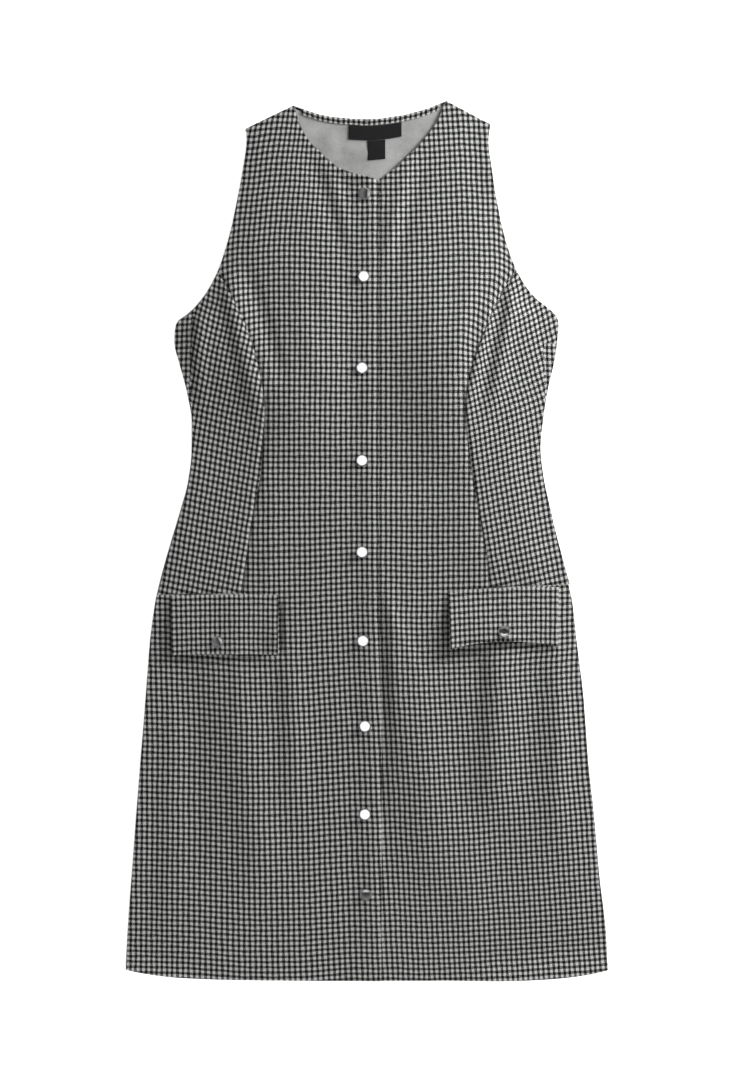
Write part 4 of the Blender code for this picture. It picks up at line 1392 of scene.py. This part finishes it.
# ---- settings ---------------------------------------------------------------------------
class DressCloth(bpy.types.PropertyGroup):
    """Sizes and colours of the cloth and trims."""

    check_width: bpy.props.FloatProperty(
        name="Check Width", description="Width of one light and one dark column",
        default=0.00513, unit="LENGTH")
    half_tone: bpy.props.FloatProperty(
        name="Half-Tone", description="White yarn in the half-tone checks, as a share",
        default=0.19, subtype="FACTOR")
    grid_step: bpy.props.FloatProperty(
        name="Grid Step", description="Size of the faces that the cloth is made of",
        default=0.0026, unit="LENGTH")
    white_yarn: bpy.props.FloatVectorProperty(
        name="White Yarn", description="Colour of the white yarn", subtype="COLOR",
        default=(0.585, 0.585, 0.57))
    black_yarn: bpy.props.FloatVectorProperty(
        name="Black Yarn", description="Colour of the black yarn", subtype="COLOR",
        default=(0.0085, 0.0085, 0.008))
    reverse: bpy.props.FloatVectorProperty(
        name="Reverse", description="Colour of the knit's plain reverse", subtype="COLOR",
        default=(0.372, 0.372, 0.367))
    tape: bpy.props.FloatVectorProperty(
        name="Tape", description="Colour of the woven labels", subtype="COLOR",
        default=(0.015, 0.015, 0.016))


class DressStage(bpy.types.PropertyGroup):
    """Light around the laid dress."""

    walls: bpy.props.FloatProperty(
        name="Walls", description="Brightness of the room around", default=0.31)
    dim_ring: bpy.props.FloatProperty(
        name="Dim Ring", description="Brightness of the ring round the ceiling patch",
        default=0.17)
    ceiling: bpy.props.FloatProperty(
        name="Ceiling", description="Brightness straight above", default=1.12)
    key_power: bpy.props.FloatProperty(
        name="Key Power", description="Power of the key lamp", default=8.8, unit="POWER")
    rake_power: bpy.props.FloatProperty(
        name="Rake Power", description="Power of the far, low lamp", default=70.0,
        unit="POWER")
    low_power: bpy.props.FloatProperty(
        name="Low Power", description="Power of the lamp below the hem", default=3.5,
        unit="POWER")
    lamp_size: bpy.props.FloatProperty(
        name="Lamp Size", description="Width of each lamp", default=0.4, unit="LENGTH")
    key_place: bpy.props.FloatVectorProperty(
        name="Key Place", description="Where the key lamp stands",
        default=(0.683, 0.663, 0.481), subtype="XYZ_LENGTH")
    rake_place: bpy.props.FloatVectorProperty(
        name="Rake Place", description="Where the far, low lamp stands",
        default=(2.38, 1.67, 0.73), subtype="XYZ_LENGTH")
    low_place: bpy.props.FloatVectorProperty(
        name="Low Place", description="Where the lamp below the hem stands",
        default=(0.035, -1.018, 0.60), subtype="XYZ_LENGTH")


# ---- operators --------------------------------------------------------------------------
class DRESS_OT_stage(bpy.types.Operator):
    """Make the floor, the lights and the camera"""

    bl_idname = "dress.stage"
    bl_label = "Stage"

    def execute(self, context):
        make_floor()
        make_sky()
        make_lamps()
        make_camera()
        return {"FINISHED"}


class DRESS_OT_back(bpy.types.Operator):
    """Make the back panel and its turned neck edge"""

    bl_idname = "dress.back"
    bl_label = "Back"

    def execute(self, context):
        make_back()
        return {"FINISHED"}


class DRESS_OT_fronts(bpy.types.Operator):
    """Make both centre front panels"""

    bl_idname = "dress.fronts"
    bl_label = "Centre Fronts"

    def execute(self, context):
        for side in SIGN:
            make_front(side)
        return {"FINISHED"}


class DRESS_OT_sides(bpy.types.Operator):
    """Make both princess side panels"""

    bl_idname = "dress.sides"
    bl_label = "Side Fronts"

    def execute(self, context):
        for side in SIGN:
            make_side(side)
        return {"FINISHED"}


class DRESS_OT_flaps(bpy.types.Operator):
    """Make both pocket flaps"""

    bl_idname = "dress.flaps"
    bl_label = "Pocket Flaps"

    def execute(self, context):
        for side in SIGN:
            make_flap(side)
        return {"FINISHED"}


class DRESS_OT_neck_trims(bpy.types.Operator):
    """Make the two bare labels and the stitches of the upper one"""

    bl_idname = "dress.neck_trims"
    bl_label = "Neck Trims"

    def execute(self, context):
        make_tape("label", "neck_label", LABEL, TURNING_WIDTH)
        make_tape("label_tab", "size_tab", SIZE_TAB, TURNING_WIDTH + LABEL.hang + LABEL.height)
        make_tacks()
        return {"FINISHED"}


class DRESS_OT_snaps(bpy.types.Operator):
    """Make the snap caps"""

    bl_idname = "dress.snaps"
    bl_label = "Snap Caps"

    def execute(self, context):
        make_snaps()
        return {"FINISHED"}


STEPS = (DRESS_OT_stage, DRESS_OT_back, DRESS_OT_fronts, DRESS_OT_sides, DRESS_OT_flaps,
         DRESS_OT_neck_trims, DRESS_OT_snaps)


class DRESS_PT_panel(bpy.types.Panel):
    """Settings and steps of the dress."""

    bl_label = "Pinafore Dress"
    bl_idname = "DRESS_PT_panel"
    bl_space_type = "VIEW_3D"
    bl_region_type = "UI"
    bl_category = "Dress"

    def draw(self, context):
        for settings in (context.scene.dress_cloth, context.scene.dress_stage):
            box = self.layout.box()
            for name in settings.__annotations__:
                box.prop(settings, name)
        for step in STEPS:
            self.layout.operator(step.bl_idname)


CLASSES = (DressCloth, DressStage, *STEPS, DRESS_PT_panel)


def register():
    for item in CLASSES:
        bpy.utils.register_class(item)
    bpy.types.Scene.dress_cloth = bpy.props.PointerProperty(type=DressCloth)
    bpy.types.Scene.dress_stage = bpy.props.PointerProperty(type=DressStage)


def unregister():
    del bpy.types.Scene.dress_cloth
    del bpy.types.Scene.dress_stage
    for item in reversed(CLASSES):
        bpy.utils.unregister_class(item)


def main():
    register()
    bpy.ops.dress.stage()
    bpy.ops.dress.back()
    bpy.ops.dress.fronts()
    bpy.ops.dress.sides()
    bpy.ops.dress.flaps()
    bpy.ops.dress.neck_trims()
    bpy.ops.dress.snaps()


if __name__ == "__main__":
    main()
